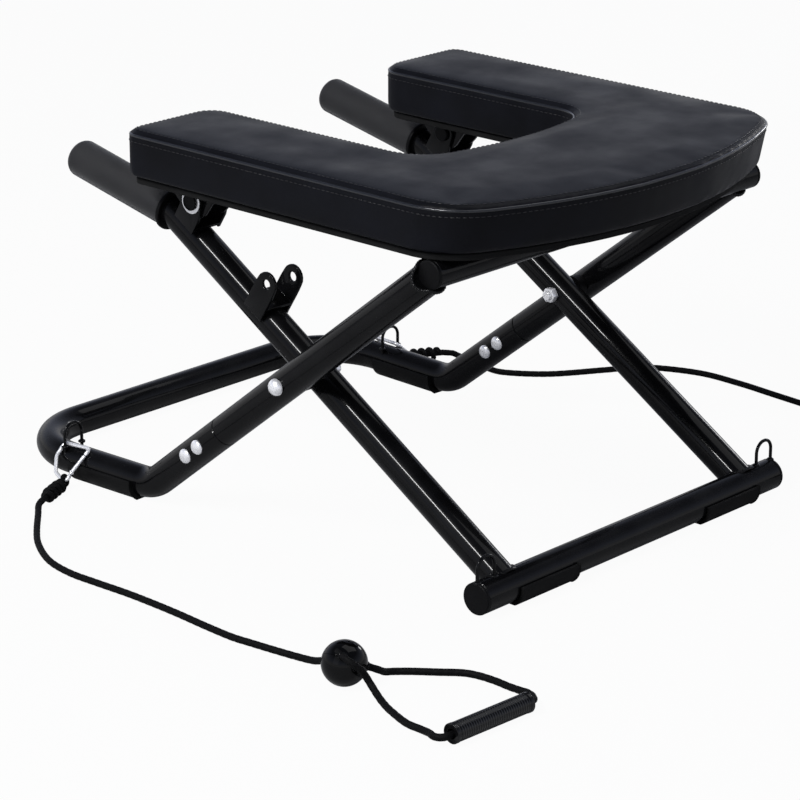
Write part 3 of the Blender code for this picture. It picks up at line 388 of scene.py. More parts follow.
# Room
SEEN_GLOW = 0.955
MIRRORED_GLOW = 0.05
FLOOR_HALF_SIZE = 6.0
FLOOR_DROP = 0.0002
FLOOR_COLOUR = (0.46, 0.46, 0.46, 1.0)
LAMP_AIM = (0, 0, 0.15)
WHITE = (1.0, 1.0, 1.0, 1.0)


def at(x=0.0, y=0.0, z=0.0):
    return Matrix.Translation((x, y, z))


def turned(angle, axis):
    return Matrix.Rotation(angle, 4, axis)


# Where things stand
PIVOT_HEIGHT = LEG_FOOT_TO_PIVOT * sin(LEG_TILT)
ARM_PIVOT_TO_BEND = PIVOT_HEIGHT / sin(ARM_TILT)
PIVOT_Y = BASE_Y - LEG_FOOT_TO_PIVOT * cos(LEG_TILT)
PIVOT_Z = AXIS_Z + PIVOT_HEIGHT
BEND_Y = PIVOT_Y - ARM_PIVOT_TO_BEND * cos(ARM_TILT)
CORNER_Y = BEND_Y - FLOOR_RUN
FOOT_RADIUS = TUBE_RADIUS + FOOT_WALL
PIVOT = at(0, PIVOT_Y, PIVOT_Z)
LEG = PIVOT @ turned(-LEG_TILT, "X")
ARM = PIVOT @ turned(ARM_TILT, "X")
HINGE = at(*(LEG @ Vector((0, -HINGE_FROM_PIVOT, BRACKET_EYE_HEIGHT))))
REAR_TUBE = ARM @ Vector((0, ARM_PIVOT_TO_REAR, 0))
TURN_TO_Y = turned(radians(90.0), "Z")
UP = Vector((0, 0, 1))
FLIP = {"r": Matrix.Identity(4), "l": turned(pi, "Z")}
SIGN = {"r": 1, "l": -1}


def axes(x, y, z):
    """A turn, from the directions of its three axes."""
    return Matrix((x, y, z)).transposed().to_4x4()


def around(count):
    """The angles of a full turn in even steps."""
    return [2 * pi * k / count for k in range(count)]


def added(name, data):
    """A new object in the scene."""
    piece = bpy.data.objects.new(name, data)
    bpy.context.scene.collection.objects.link(piece)
    return piece


def fill(tree, node, inputs):
    """Set a node's inputs, and link those that are given as sockets."""
    for name, value in inputs.items():
        if isinstance(value, bpy.types.NodeSocket):
            tree.links.new(value, node.inputs[name])
        else:
            node.inputs[name].default_value = value
    return node


def node_in(tree, kind, inputs):
    return fill(tree, tree.nodes.new("ShaderNode" + kind), inputs)


def sum_in(tree, operation, *values):
    """The result of a sum on numbers or sockets."""
    node = node_in(tree, "Math", dict(enumerate(values)))
    node.operation = operation
    return node.outputs["Value"]


# Camera

def make_camera():
    camera = added("camera", bpy.data.cameras.new("camera"))
    turn = axes((-0.681441, 0.731873, -0.0000332), (-0.241414, -0.224736, 0.944041),
                (0.690910, 0.643316, 0.329829))
    camera.matrix_world = at(1.99034701, 1.8534671, 1.0227527) @ turn
    camera.data.sensor_width = 36.0
    camera.data.lens = 143.0109
    camera.data.clip_start = 0.1
    camera.data.clip_end = 50.0
    bpy.context.scene.camera = camera


# Materials

LOOKS = {}


def look(name, dark, light, rough, metallic=0.0, specular=0.5, coat=0.0, blotches=35.0,
         grain="noise", scale=1200.0, depth=40, fuzz=0.0, slot=None, stretch=(1, 1, 1)):
    """A material with uneven colour and roughness and a fine grain, its depth in micrometres."""
    material = bpy.data.materials.new(name + "_look")
    material.use_nodes = True
    tree = material.node_tree
    place = node_in(tree, "TexCoord", {}).outputs["Object"]
    patches = node_in(tree, "TexNoise", {"Vector": place, "Scale": blotches, "Detail": 5.0})
    tint = node_in(tree, "ValToRGB", {"Fac": patches.outputs["Fac"]})
    for stop, position, colour in zip(tint.color_ramp.elements, (0.38, 0.68), (dark, light)):
        stop.position, stop.color = position, (*colour, 1.0)
    wear = node_in(tree, "MapRange", {
        "Value": patches.outputs["Fac"], "From Min": 0.35, "From Max": 0.7,
        "To Min": rough * 0.85, "To Max": min(1.0, rough * 1.25)})
    stretched = node_in(tree, "Mapping", {"Vector": place, "Scale": stretch})
    spread = {"Vector": stretched.outputs["Vector"], "Scale": scale}
    if grain == "cells":
        texture = node_in(tree, "TexVoronoi", spread)
        texture.feature = "DISTANCE_TO_EDGE"
        height = texture.outputs["Distance"]
    else:
        height = node_in(tree, "TexNoise", {**spread, "Detail": 3.0}).outputs["Fac"]
    bump = node_in(tree, "Bump", {"Distance": depth * 1e-6, "Strength": 1.0, "Height": height})
    fill(tree, tree.nodes["Principled BSDF"], {
        "Metallic": metallic, "Specular IOR Level": specular, "Coat Weight": coat,
        "Coat Roughness": 0.05, "Sheen Weight": fuzz, "Sheen Roughness": 0.4,
        "Base Color": tint.outputs["Color"], "Roughness": wear.outputs["Result"],
        "Normal": bump.outputs["Normal"]})
    LOOKS[name] = (material, slot or name)


def make_looks():
    look("powder_coat", (0.0022, 0.0022, 0.0025), (0.0038, 0.0038, 0.0042), 0.26, specular=0.04,
         coat=0.24, scale=1500, depth=10)
    look("weld_bead", (0.003, 0.003, 0.0033), (0.006, 0.006, 0.0065), 0.3, specular=0.15,
         scale=2500, depth=60, slot="powder_coat")
    look("black_plastic", (0.002, 0.002, 0.0023), (0.0038, 0.0038, 0.0042), 0.45, specular=0.08,
         scale=2600, depth=30)
    look("gloss_plastic", (0.0012, 0.0012, 0.0013), (0.002, 0.002, 0.0022), 0.12, specular=0.04,
         coat=0.28, scale=700, depth=5)
    look("handle_plastic", (0.002, 0.002, 0.0022), (0.004, 0.004, 0.0044), 0.3, specular=0.08,
         coat=0.45, scale=1800, depth=10, slot="black_plastic")
    look("black_rubber", (0.0025, 0.0025, 0.0025), (0.006, 0.006, 0.006), 0.62, specular=0.10,
         scale=3000, depth=50)
    look("grip_foam", (0.009, 0.009, 0.010), (0.017, 0.017, 0.018), 0.7, specular=0.30,
         grain="cells", scale=2200, depth=120, fuzz=0.20)
    look("zinc", (0.86, 0.86, 0.87), (0.96, 0.96, 0.97), 0.28, metallic=0.55, blotches=260,
         scale=1800, depth=20)
    look("chrome", (0.80, 0.80, 0.81), (0.93, 0.93, 0.94), 0.16, metallic=0.9, blotches=200,
         scale=900, depth=10)
    look("seat_leather", (0.0018, 0.0020, 0.0032), (0.0032, 0.0036, 0.0060), 0.42, specular=0.10,
         blotches=18, grain="cells", scale=750, depth=100)
    look("seat_piping", (0.004, 0.005, 0.007), (0.007, 0.008, 0.011), 0.22, specular=0.45,
         coat=0.2, blotches=300, scale=1600, depth=30, slot="seat_leather")
    look("seat_board", (0.005, 0.005, 0.005), (0.010, 0.010, 0.010), 0.85, specular=0.1,
         scale=1500, depth=100, stretch=(1, 6, 1))
    look("braided_cord", (0.0015, 0.0015, 0.0017), (0.0042, 0.0042, 0.0045), 0.6, specular=0.08,
         blotches=500, scale=4200, depth=120)
    look("thread", (0.004, 0.004, 0.005), (0.010, 0.010, 0.012), 0.35, specular=0.4, blotches=500,
         scale=4200, depth=50, slot="seat_leather")


# Meshes

def filleted(corners, closed=False):
    """Points of a line through corners, each given as (place, bend radius)."""
    path = []
    for index, (place, radius) in enumerate(corners):
        open_end = not closed and index in (0, len(corners) - 1)
        if open_end or radius == 0:
            path.append(Vector(place))
            continue
        into = (place - corners[index - 1][0]).normalized()
        out = (corners[(index + 1) % len(corners)][0] - place).normalized()
        turn = into.angle(out)
        side = (out - into * into.dot(out)).normalized()
        centre = place - into * radius * tan(turn / 2) + side * radius
        steps = max(3, ceil(turn / ARC_STEP))
        for step in range(steps + 1):
            angle = turn * step / steps
            path.append(centre + (into * sin(angle) - side * cos(angle)) * radius)
    return path


def even_steps(path, step, closed=False):
    """The same line with points about one step apart."""
    line = path + [path[0]] if closed else path
    lengths = [0.0]
    for first, second in zip(line, line[1:]):
        lengths.append(lengths[-1] + (second - first).length)
    count = max(2, round(lengths[-1] / step))
    result = []
    index = 0
    for number in range(count if closed else count + 1):
        goal = lengths[-1] * number / count
        while index < len(line) - 2 and lengths[index + 1] < goal:
            index += 1
        share = (goal - lengths[index]) / max(lengths[index + 1] - lengths[index], 1e-9)
        result.append(line[index].lerp(line[index + 1], share))
    return result


def length_of(path):
    """The length of a line."""
    return sum((b - a).length for a, b in zip(path, path[1:]))


def sweep(path, radius, sides=TUBE_SIDES, closed=False, level=False, end_fit=None):
    """A rod along a path. radius is a number, or gives one from (distance, angle)."""
    size = radius if callable(radius) else lambda distance, angle: radius
    count = len(path)
    angles = around(sides)
    first_way = (path[1] - path[0]).normalized()
    across = UP if abs(first_way.x) > 0.9 else Vector((1, 0, 0))
    points, distances, distance = [], [], 0.0
    for index, point in enumerate(path):
        before = path[index - 1] if index or closed else point
        after = path[(index + 1) % count] if index < count - 1 or closed else point
        along = ((after - point).normalized() + (point - before).normalized()).normalized()
        if level:
            across = along.cross(UP)
        across = (across - along * across.dot(along)).normalized()
        up = along.cross(across)
        distance += (point - path[index - 1]).length if index else 0.0
        distances.append(distance)
        for angle in angles:
            points.append(point + (across * cos(angle) + up * sin(angle)) * size(distance, angle))
    if end_fit:
        points[-sides:] = [end_fit(point) for point in points[-sides:]]
    faces, marks = [], []
    girth = 2 * pi * size(0.0, 0.0)
    for ring in range(count if closed else count - 1):
        other = (ring + 1) % count
        near, far = distances[ring] / girth, (distances[other] or distance) / girth
        low, high = ring * sides, other * sides
        for k in range(sides):
            follow, start, stop = (k + 1) % sides, k / sides, (k + 1) / sides
            faces.append((low + k, low + follow, high + follow, high + k))
            marks += [(near, start), (near, stop), (far, stop), (far, start)]
    if not closed:
        last = (count - 1) * sides
        faces.append(tuple(range(sides))[::-1])
        faces.append(tuple(range(last, last + sides)))
        marks += [(0.0, 0.0)] * (2 * sides)
    mesh = bpy.data.meshes.new("sweep")
    mesh.from_pydata(points, [], faces)
    layer = mesh.uv_layers.new(name="along")
    layer.data.foreach_set("uv", [value for mark in marks for value in mark])
    return mesh


def pipe(path, radius, sides=TUBE_SIDES):
    """A tube with slightly broken edges at its ends."""
    start = path[0] + (path[1] - path[0]).normalized() * EDGE
    stop = path[-1] + (path[-2] - path[-1]).normalized() * EDGE
    line = [path[0], start, *path[1:-1], stop, path[-1]]
    total = length_of(line)

    def size(distance, angle):
        return radius - EDGE if distance < EDGE / 2 or distance > total - EDGE / 2 else radius
    return sweep(line, size, sides)


def from_bmesh(bm):
    bmesh.ops.recalc_face_normals(bm, faces=bm.faces)
    mesh = bpy.data.meshes.new("made")
    bm.to_mesh(mesh)
    bm.free()
    return mesh


def skin(bm, first, second):
    """Faces between two rings of as many points."""
    count = len(first)
    for k in range(count):
        bm.faces.new((first[k], first[(k + 1) % count], second[(k + 1) % count], second[k]))


def lathe(profile, closed=False, sides=TUBE_SIDES):
    """Turn a profile of (radius, place along X, corner rounding) about X."""
    corners = [(Vector((along, radius, 0)), rounding) for radius, along, rounding in profile]
    angles = around(sides)
    bm = bmesh.new()
    rings = []
    for x, radius, _ in filleted(corners, closed):
        circle = [(x, radius * cos(a), radius * sin(a)) for a in angles]
        rings.append([bm.verts.new(place) for place in (circle if radius > 1e-7 else [(x, 0, 0)])])
    pairs = list(zip(rings, rings[1:])) + ([(rings[-1], rings[0])] if closed else [])
    for first, second in pairs:
        if len(first) == 1 or len(second) == 1:
            tip, ring = (first[0], second) if len(first) == 1 else (second[0], first)
            for k in range(sides):
                bm.faces.new((tip, ring[k], ring[(k + 1) % sides]))
        else:
            skin(bm, first, second)
    return from_bmesh(bm)


def ring_profile(bore, radius, low, high, low_round, high_round):
    return [(bore, low, 0), (radius, low, low_round), (radius, high, high_round), (bore, high, 0)]


def mirrored(profile):
    """The same profile turned end for end, and run through backwards."""
    return [(radius, -along, rounding) for radius, along, rounding in reversed(profile)]


def dome(radius, height, start, steps=12):
    """Profile of a dome that stands on a flat face at start and ends on the axis."""
    angles = [pi / 2 * step / steps for step in range(steps)]
    profile = [(radius * cos(a), start + height * sin(a), 0) for a in angles]
    return profile + [(0, start + height, 0)]


def soften(bm, width):
    """Round the sharp edges of a solid."""
    bmesh.ops.remove_doubles(bm, verts=bm.verts, dist=1e-6)
    bmesh.ops.dissolve_limit(bm, angle_limit=radians(1.0), verts=bm.verts, edges=bm.edges)
    bend = radians(32)
    sharp = [e for e in bm.edges if len(e.link_faces) == 2 and e.calc_face_angle() > bend]
    bmesh.ops.bevel(bm, geom=sharp, offset=width, segments=3, profile=0.5, affect="EDGES",
                    clamp_overlap=True)
    return bm


def softened_node(node, width):
    """A copy of a CAD node's solid with rounded edges."""
    bm = bmesh.new()
    bm.from_mesh(frame["nodes"][node].data)
    return from_bmesh(soften(bm, width))


def layered(layers):
    """A slab from closed outlines of as many points, each given as (points, height)."""
    bm = bmesh.new()
    rings = [[bm.verts.new((p.x, p.y, height)) for p in points] for points, height in layers]
    for first, second in zip(rings, rings[1:]):
        skin(bm, first, second)
    bm.faces.new(rings[0])
    bm.faces.new(rings[-1])
    return from_bmesh(bm)


# Pieces

def extra(name, mesh, surface, body, matrix=None):
    """A shown piece that rides on a body."""
    if matrix:
        mesh.transform(matrix)
    material, slot = LOOKS[surface]
    mesh.materials.clear()
    mesh.materials.append(material)
    mesh.shade_smooth()
    mesh.set_sharp_from_angle(angle=radians(40.0))
    piece = added(name, mesh)
    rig.ride(piece, body)
    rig.slot(piece, slot)
    return piece


def shown(node, mesh, surface, matrix=None):
    """A shown piece that stands for a CAD node."""
    piece = extra(node + "_look", mesh, surface, frame["nodes"][node]["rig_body"], matrix)
    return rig.replaces(piece, node)


def weld(name, points, size, body, closed=False):
    """A lumpy weld bead along a line."""
    def lumps(distance, angle):
        wave = abs(sin(distance * pi / WELD_PITCH))
        grain = noise.noise(Vector((distance * 900, angle, 1)))
        return size * (1 - WELD_WAVE + WELD_WAVE * wave + WELD_LUMPS * grain)
    line = even_steps(points, WELD_STEP, closed)
    extra(name, sweep(line, lumps, sides=10, closed=closed), "weld_bead", body)


# Pull cords

def run_ends(sign):
    """Where the floor tube bends up, and its front corner, on one side."""
    return Vector((sign * ARM_X, BEND_Y, AXIS_Z)), Vector((sign * FLOOR_CORNER_X, CORNER_Y, AXIS_Z))


def run_place(side, from_bend):
    """A frame on the floor tube's straight run, with X along the run to the front."""
    bend, corner = run_ends(SIGN[side])
    along = (corner - bend).normalized()
    return at(*(bend + along * from_bend)) @ turned(atan2(along.y, along.x), "Z")


def hook_frame(side):
    """A frame against the outside of the floor tube: X along the tube, Y down the hook's plane."""
    run = run_place(side, EYELET_FROM_BEND[side])
    front, left = (run.col[column].to_3d() * SIGN[side] for column in (0, 1))
    down = left * cos(HOOK_LEAN) - UP * sin(HOOK_LEAN)
    away = left * sin(HOOK_LEAN) + UP * cos(HOOK_LEAN)
    touch = run.translation + away * (TUBE_RADIUS + HOOK_WIRE + GAP)
    return at(*touch) @ axes(-front, down, (-front).cross(down))


def in_metres(points):
    """Places given in millimetres. Those without a height lie on the floor."""
    return [Vector((*point, ON_FLOOR)[:3]) / 1000 for point in points]


def smooth_route(places, step):
    """Even steps along a Catmull-Rom curve through the places."""
    padded = [places[0] * 2 - places[1]] + places + [places[-1] * 2 - places[-2]]
    fine = []
    for before, start, end, after in zip(padded, padded[1:], padded[2:], padded[3:]):
        bend = before * 2 - start * 5 + end * 4 - after
        twist = start * 3 - before - end * 3 + after
        for t in (number / 20 for number in range(20)):
            fine.append((start * 2 + (end - before) * t + bend * t ** 2 + twist * t ** 3) * 0.5)
    return even_steps(fine + [places[-1]], step)


def rope(path, radius=CORD_RADIUS, pitch=BRAID_PITCH):
    """A plaited round cord along a path."""
    def size(distance, angle):
        twist = 2 * pi * distance / pitch
        strand = BRAID_STRANDS * angle
        high = max(cos(strand + twist), cos(strand - twist))
        return radius * (1 - BRAID_DEPTH + BRAID_DEPTH * high)
    return sweep(path, size, sides=ROPE_SIDES)


def make_hook(side):
    """The carabiner with its gate, and the places along its wire."""
    place = hook_frame(side)
    path = filleted([(Vector((x, y, 0)), radius) for x, y, radius in HOOK_BODY])
    shown("carabiner_" + side, pipe(path, HOOK_WIRE, WIRE_SIDES), "zinc", place)
    hinge, nose = path[0], path[-1]
    way = (nose - hinge).normalized()
    line = [hinge + way * CORD_GAP, nose - way * CORD_GAP]
    shown("carabiner_gate_" + side, pipe(line, GATE_WIRE, WIRE_SIDES), "zinc", place)
    pin = ring_profile(0, GATE_PIN_RADIUS, -GATE_PIN_HALF, GATE_PIN_HALF, 0.0003, 0.0003)
    upright = turned(radians(90), "Y")
    extra("carabiner_pin_" + side, lathe(pin, sides=20), "zinc", "gate_" + side,
          place @ at(*(hinge + way * GATE_PIN_FROM_END)) @ upright)
    return [place @ point for point in path]


def make_knot(side, wire):
    """The knot and the eye of rope that goes round the hook."""
    toward = Vector((cos(KNOT_TURN[side]), sin(KNOT_TURN[side]), 0))
    place = hook_frame(side)
    tip = (HOOK_BODY[1][1] + HOOK_BODY[2][1]) / 2
    low = [index for index, point in enumerate(wire) if (place.inverted() @ point).y > tip]
    index = max(low, key=lambda number: toward.dot(wire[number]))
    bend = wire[index]
    start = Vector((bend.x, bend.y, KNOT_RADIUS + GAP)) + toward * (HOOK_WIRE + GAP)
    side_way = Vector((-toward.y, toward.x, 0))
    reach = KNOT_RADIUS - KNOT_STRAND - 0.0001
    steps = 240
    line = []
    for share in (number / steps for number in range(steps + 1)):
        swell = min(1.0, min(share, 1 - share) / KNOT_TAPER)
        ring = reach * sin(pi / 2 * swell) ** 0.8
        angle = 2 * pi * KNOT_TURNS * share
        along = KNOT_MARGIN + (KNOT_LENGTH - 2 * KNOT_MARGIN) * share
        line.append(start + toward * along + (side_way * cos(angle) + UP * sin(angle)) * ring)
    knot = shown("cord_knot_" + side, rope(line, KNOT_STRAND, FINE_PITCH), "braided_cord")
    ends = [start + toward * 0.001, start + toward * (KNOT_LENGTH + CORD_GAP + 0.001)]
    core = rope(even_steps(ends, ROPE_STEP))
    core = extra("knot_core_" + side, core, "braided_cord", "arm_frame")

    wire_way = (wire[index + 1] - wire[index - 1]).normalized()
    out = wire_way.cross(toward).normalized()
    ahead = out.cross(wire_way).normalized()
    ahead = ahead if ahead.dot(toward) > 0 else -ahead
    radius = HOOK_WIRE + EYE_STRAND + 0.0002
    inside, neck = start + toward * 0.006, start + toward * 0.0005
    inside_out, neck_out = out * 0.001, out * 0.0032
    steps = 12
    eye_line = [inside + inside_out, neck + neck_out]
    for angle in (EYE_WRAP * number / steps for number in range(-steps, steps + 1)):
        eye_line.append(bend - ahead * radius * cos(angle) - out * radius * sin(angle))
    eye_line += [neck - neck_out, inside - inside_out]
    eye = extra("cord_eye_" + side, rope(smooth_route(eye_line, ROPE_STEP), EYE_STRAND, FINE_PITCH),
                "braided_cord", "arm_frame")
    return start + toward * (KNOT_LENGTH + CORD_GAP), toward, [knot, core, eye]


def turn_to(way):
    """Turns X to a direction."""
    return Vector((1, 0, 0)).rotation_difference(way).to_matrix().to_4x4()


def ball_profile():
    """Half a circle, with a fine groove where the ball's halves meet."""
    first = asin(BALL_GROOVE / BALL_RADIUS)
    steps = 40
    angles = [first + (pi / 2 - first) * step / steps for step in range(steps)]
    half = [(BALL_RADIUS * cos(a), BALL_RADIUS * sin(a), 0) for a in angles]
    half = [(BALL_RADIUS - BALL_GROOVE, BALL_GROOVE / 2, 0)] + half + [(0, BALL_RADIUS, 0)]
    return mirrored(half) + half


def make_ball(side, centre, ropes):
    """The ball, and a rim round each hole where a rope leaves it."""
    seam = Vector((BALL_SEAM[0] * SIGN[side], BALL_SEAM[1], BALL_SEAM[2]))
    ball = shown("cord_ball_" + side, lathe(ball_profile(), sides=96), "gloss_plastic",
                 at(*centre) @ turn_to(seam))
    for number, path in enumerate(ropes):
        count = next(k for k, point in enumerate(path) if (point - centre).length > BALL_RADIUS)
        way = (path[count + 2] - path[count - 1]).normalized()
        lean = (path[count] - centre).normalized() + way * 0.5
        extra(f"ball_hole_{side}{number}", lathe(BALL_HOLE_PROFILE, closed=True, sides=32),
              "gloss_plastic", "arm_frame", at(*path[count]) @ turn_to(lean))
    return ball


def make_handle(side, place):
    """The ribbed handle, with a rim at each end."""
    half = PULL_LENGTH / 2
    rim = half - PULL_RIM_WIDTH
    profile = [(PULL_BORE, -half, 0.0005), (PULL_RIM, -half, 0.0006), (PULL_RIM, -rim, 0.0005)]
    first = -rim + PULL_RIB_FROM_RIM
    pitch = 2 * (rim - PULL_RIB_FROM_RIM) / PULL_RIBS
    for rib in range(PULL_RIBS):
        for share, depth in ((0.08, PULL_RIB_DEPTH), (0.3, 0), (0.7, 0), (0.92, PULL_RIB_DEPTH)):
            profile.append((PULL_RADIUS - depth, first + (rib + share) * pitch, 0))
    profile += [(PULL_RIM, rim, 0.0005), (PULL_RIM, half, 0.0006), (PULL_BORE, half, 0.0005)]
    return shown("pull_handle_" + side, lathe(profile, closed=True), "handle_plastic", place)


def make_cord(side):
    sign = SIGN[side]
    start, toward, tied = make_knot(side, make_hook(side))
    x, y = BALL_PLACE[side]
    lead = start + toward * CORD_LEAD
    seen = in_metres(CORD_ROUTE[side])
    lead.z = (start.z + seen[0].z) / 2
    arrival = [Vector((x, y, 0)) + place for place in in_metres(CORD_TO_BALL)]
    route = smooth_route([start, lead, *seen, *arrival], ROPE_STEP)
    cord = shown("pull_cord_" + side, rope(route), "braided_cord")
    places = [Vector((x + sign * place.x, y + place.y, place.z)) for place in in_metres(LOOP_ROUTE)]
    loop_route = smooth_route(places, ROPE_STEP)
    loop = shown("pull_loop_" + side, rope(loop_route), "braided_cord")
    ball = make_ball(side, Vector((x, y, BALL_RADIUS)), (route[::-1], loop_route, loop_route[::-1]))
    place = at(x + sign * PULL_FROM_BALL[0], y + PULL_FROM_BALL[1], PULL_RIM)
    handle = make_handle(side, place @ turned(sign * PULL_TURN, "Z"))
    for piece, line, fixed in (cord, route, [*tied, ball]), (loop, loop_route, [handle]):
        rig.cord(piece, exit=line[0], length=length_of(line), diameter=2 * CORD_RADIUS,
                far_end="fitting", stiffness="limp", lay="loose", path=line, with_pieces=fixed)


# Frames

def saddle_fit(place, reach, radius, trim):
    """Moves a point along Y of a frame to the wall of a tube that crosses there."""
    back = place.inverted()

    def fit(point):
        local = back @ point
        wall = sqrt(max(radius ** 2 - local.z ** 2, 0.0))
        local.y = reach - max(trim, wall - SADDLE_BITE)
        return place @ local
    return fit


def saddle_weld(name, place, fit, body):
    outer = TUBE_RADIUS + 0.0004
    ring = [fit(place @ Vector((outer * cos(a), 0, outer * sin(a)))) for a in around(72)]
    weld(name, ring, 0.0017, body, closed=True)


def make_legs():
    handle_turn = LEG_TILT - HANDLE_TILT
    handle = Vector((0, -cos(handle_turn), -sin(handle_turn)))
    bend = Vector((0, -LEG_PIVOT_TO_BEND, 0))
    tube_end = bend + handle * (GRIP_FROM_BEND + GRIP_LENGTH - 0.008)
    foot = Vector((0, LEG_FOOT_TO_PIVOT - LEG_TRIM, 0))
    path = filleted([(tube_end, 0), (bend, HANDLE_BEND_RADIUS), (foot, 0)])
    for side, sign in SIGN.items():
        place = LEG @ at(sign * LEG_X)
        fit = saddle_fit(place, LEG_FOOT_TO_PIVOT, TUBE_RADIUS, LEG_TRIM)
        line = [place @ point for point in path]
        shown("leg_" + side, sweep(line, TUBE_RADIUS, end_fit=fit), "powder_coat")
        saddle_weld("leg_weld_" + side, place, fit, "leg_frame")

        turn = turned(handle_turn, "X")
        grip_place = place @ at(*bend) @ turn @ TURN_TO_Y.inverted() @ at(GRIP_FROM_BEND)
        profile = [(TUBE_RADIUS, 0.002, 0), (TUBE_RADIUS, 0, 0), (GRIP_RADIUS, 0, 0.0012),
                   (GRIP_RADIUS, GRIP_LENGTH, GRIP_END_ROUND), (0, GRIP_LENGTH, 0)]
        shown("grip_" + side, lathe(profile), "grip_foam", grip_place)
        ring = ring_profile(TUBE_RADIUS - 0.001, COLLAR_RADIUS, 0, COLLAR_THICKNESS, 0.0012, 0.0012)
        shown("grip_collar_" + side, lathe(ring, closed=True), "black_plastic",
              grip_place @ at(-GAP - COLLAR_THICKNESS))


def crossbar(node, cap_node, place, length, radius):
    """A straight tube along X with a plugged cap in each end."""
    half = length / 2 - CAP_FLANGE - GAP
    ends = [place @ Vector((-half, 0, 0)), place @ Vector((half, 0, 0))]
    shown(node, pipe(ends, radius), "powder_coat")
    plug = radius - TUBE_WALL - GAP
    cap = [(0, -CAP_PLUG, 0), (plug, -CAP_PLUG, 0.0005), (plug, 0, 0), (radius, 0, 0.0003),
           (radius, CAP_FLANGE, 0.0014), (0, CAP_FLANGE + 0.0003, 0)]
    for side, sign in SIGN.items():
        end = place @ at(sign * (half + GAP)) @ FLIP[side]
        shown(cap_node + side, lathe(cap), "black_plastic", end)


def sleeve(length):
    """A rubber sleeve under a tube along X, cut flat where it meets the floor."""
    half = FOOT_WRAP / 2
    steps = 40
    angles = [-pi / 2 - half + FOOT_WRAP * step / steps for step in range(steps + 1)]
    inner = TUBE_RADIUS + GAP / 2
    outline = [(inner * cos(a), inner * sin(a)) for a in angles]
    flat = sqrt(FOOT_RADIUS ** 2 - AXIS_Z ** 2)
    outside = [(FOOT_RADIUS * cos(a), FOOT_RADIUS * sin(a)) for a in angles[::-1]]
    outside = [(y, z) for y, z in outside if z > -AXIS_Z]
    middle = len(outside) // 2
    outline += [*outside[:middle], (flat, -AXIS_Z), (-flat, -AXIS_Z), *outside[middle:]]
    bm = bmesh.new()
    rings = [[bm.verts.new((x, y, z)) for y, z in outline] for x in (-length / 2, length / 2)]
    skin(bm, *rings)
    for ring in rings:
        bm.faces.new(ring)
    return from_bmesh(soften(bm, 0.0009))


def make_eyelet(node, place, body):
    """A bent wire, welded onto a tube along X."""
    top = EYELET_HEIGHT + TUBE_RADIUS - EYELET_WIRE
    left, right = -EYELET_HALF_WIDTH, EYELET_HALF_WIDTH
    bends = ((left, EYELET_ROOT), (left, top), (right, top), (right, EYELET_ROOT))
    path = filleted([(Vector((x, 0, z)), EYELET_CORNER) for x, z in bends])
    shown(node, sweep(path, EYELET_WIRE, WIRE_SIDES), "powder_coat", place)
    outer = EYELET_WIRE + 0.0006
    for number, x in enumerate((left, right)):
        ring = [place @ Vector((x + outer * cos(a), outer * sin(a), TUBE_RADIUS - 0.0002))
                for a in around(24)]
        weld(f"{node}_weld{number}", ring, 0.0014, body, closed=True)


def make_base():
    base = at(0, BASE_Y, AXIS_Z)
    crossbar("base_tube", "base_cap_", base, BASE_TUBE_LENGTH, TUBE_RADIUS)
    for side, sign in SIGN.items():
        middle = sign * (LEG_X - BASE_FOOT_FROM_LEG - BASE_FOOT_LENGTH / 2)
        shown("base_foot_" + side, sleeve(BASE_FOOT_LENGTH), "black_rubber", base @ at(middle))
        eyelet = base @ at(sign * (BASE_TUBE_LENGTH / 2 - BASE_EYELET_FROM_END))
        make_eyelet("base_eyelet_" + side, eyelet, "leg_frame")


def hinge_welds():
    """Beads across the top of the leg, at both ends of the hinge bracket's web."""
    angles = [radians(28.0) * step / 10 for step in range(-10, 11)]
    return [[(TUBE_RADIUS * sin(a), y, TUBE_RADIUS * cos(a)) for a in angles] for y in HINGE_BASE]


def spare_welds():
    """Beads along the lower edges of the spare bracket's ears."""
    x = TUBE_RADIUS + GAP + BRACKET_PLATE - 0.0016
    return [[(sign * x, y, SPARE_SKIRT - 0.0004) for y in SPARE_BASE] for sign in (1, -1)]


def make_brackets():
    kinds = (("hinge", HINGE_FROM_PIVOT, hinge_welds(), 0.0012),
             ("spare", SPARE_FROM_PIVOT, spare_welds(), 0.0015))
    for side, sign in SIGN.items():
        for kind, station, beads, size in kinds:
            node = f"{kind}_bracket_{side}"
            shown(node, softened_node(node, 0.0007), "powder_coat")
            place = LEG @ at(sign * LEG_X, -station)
            for number, bead in enumerate(beads):
                line = [place @ Vector(point) for point in bead]
                weld(f"{node}_weld{number}", line, size, "leg_frame")


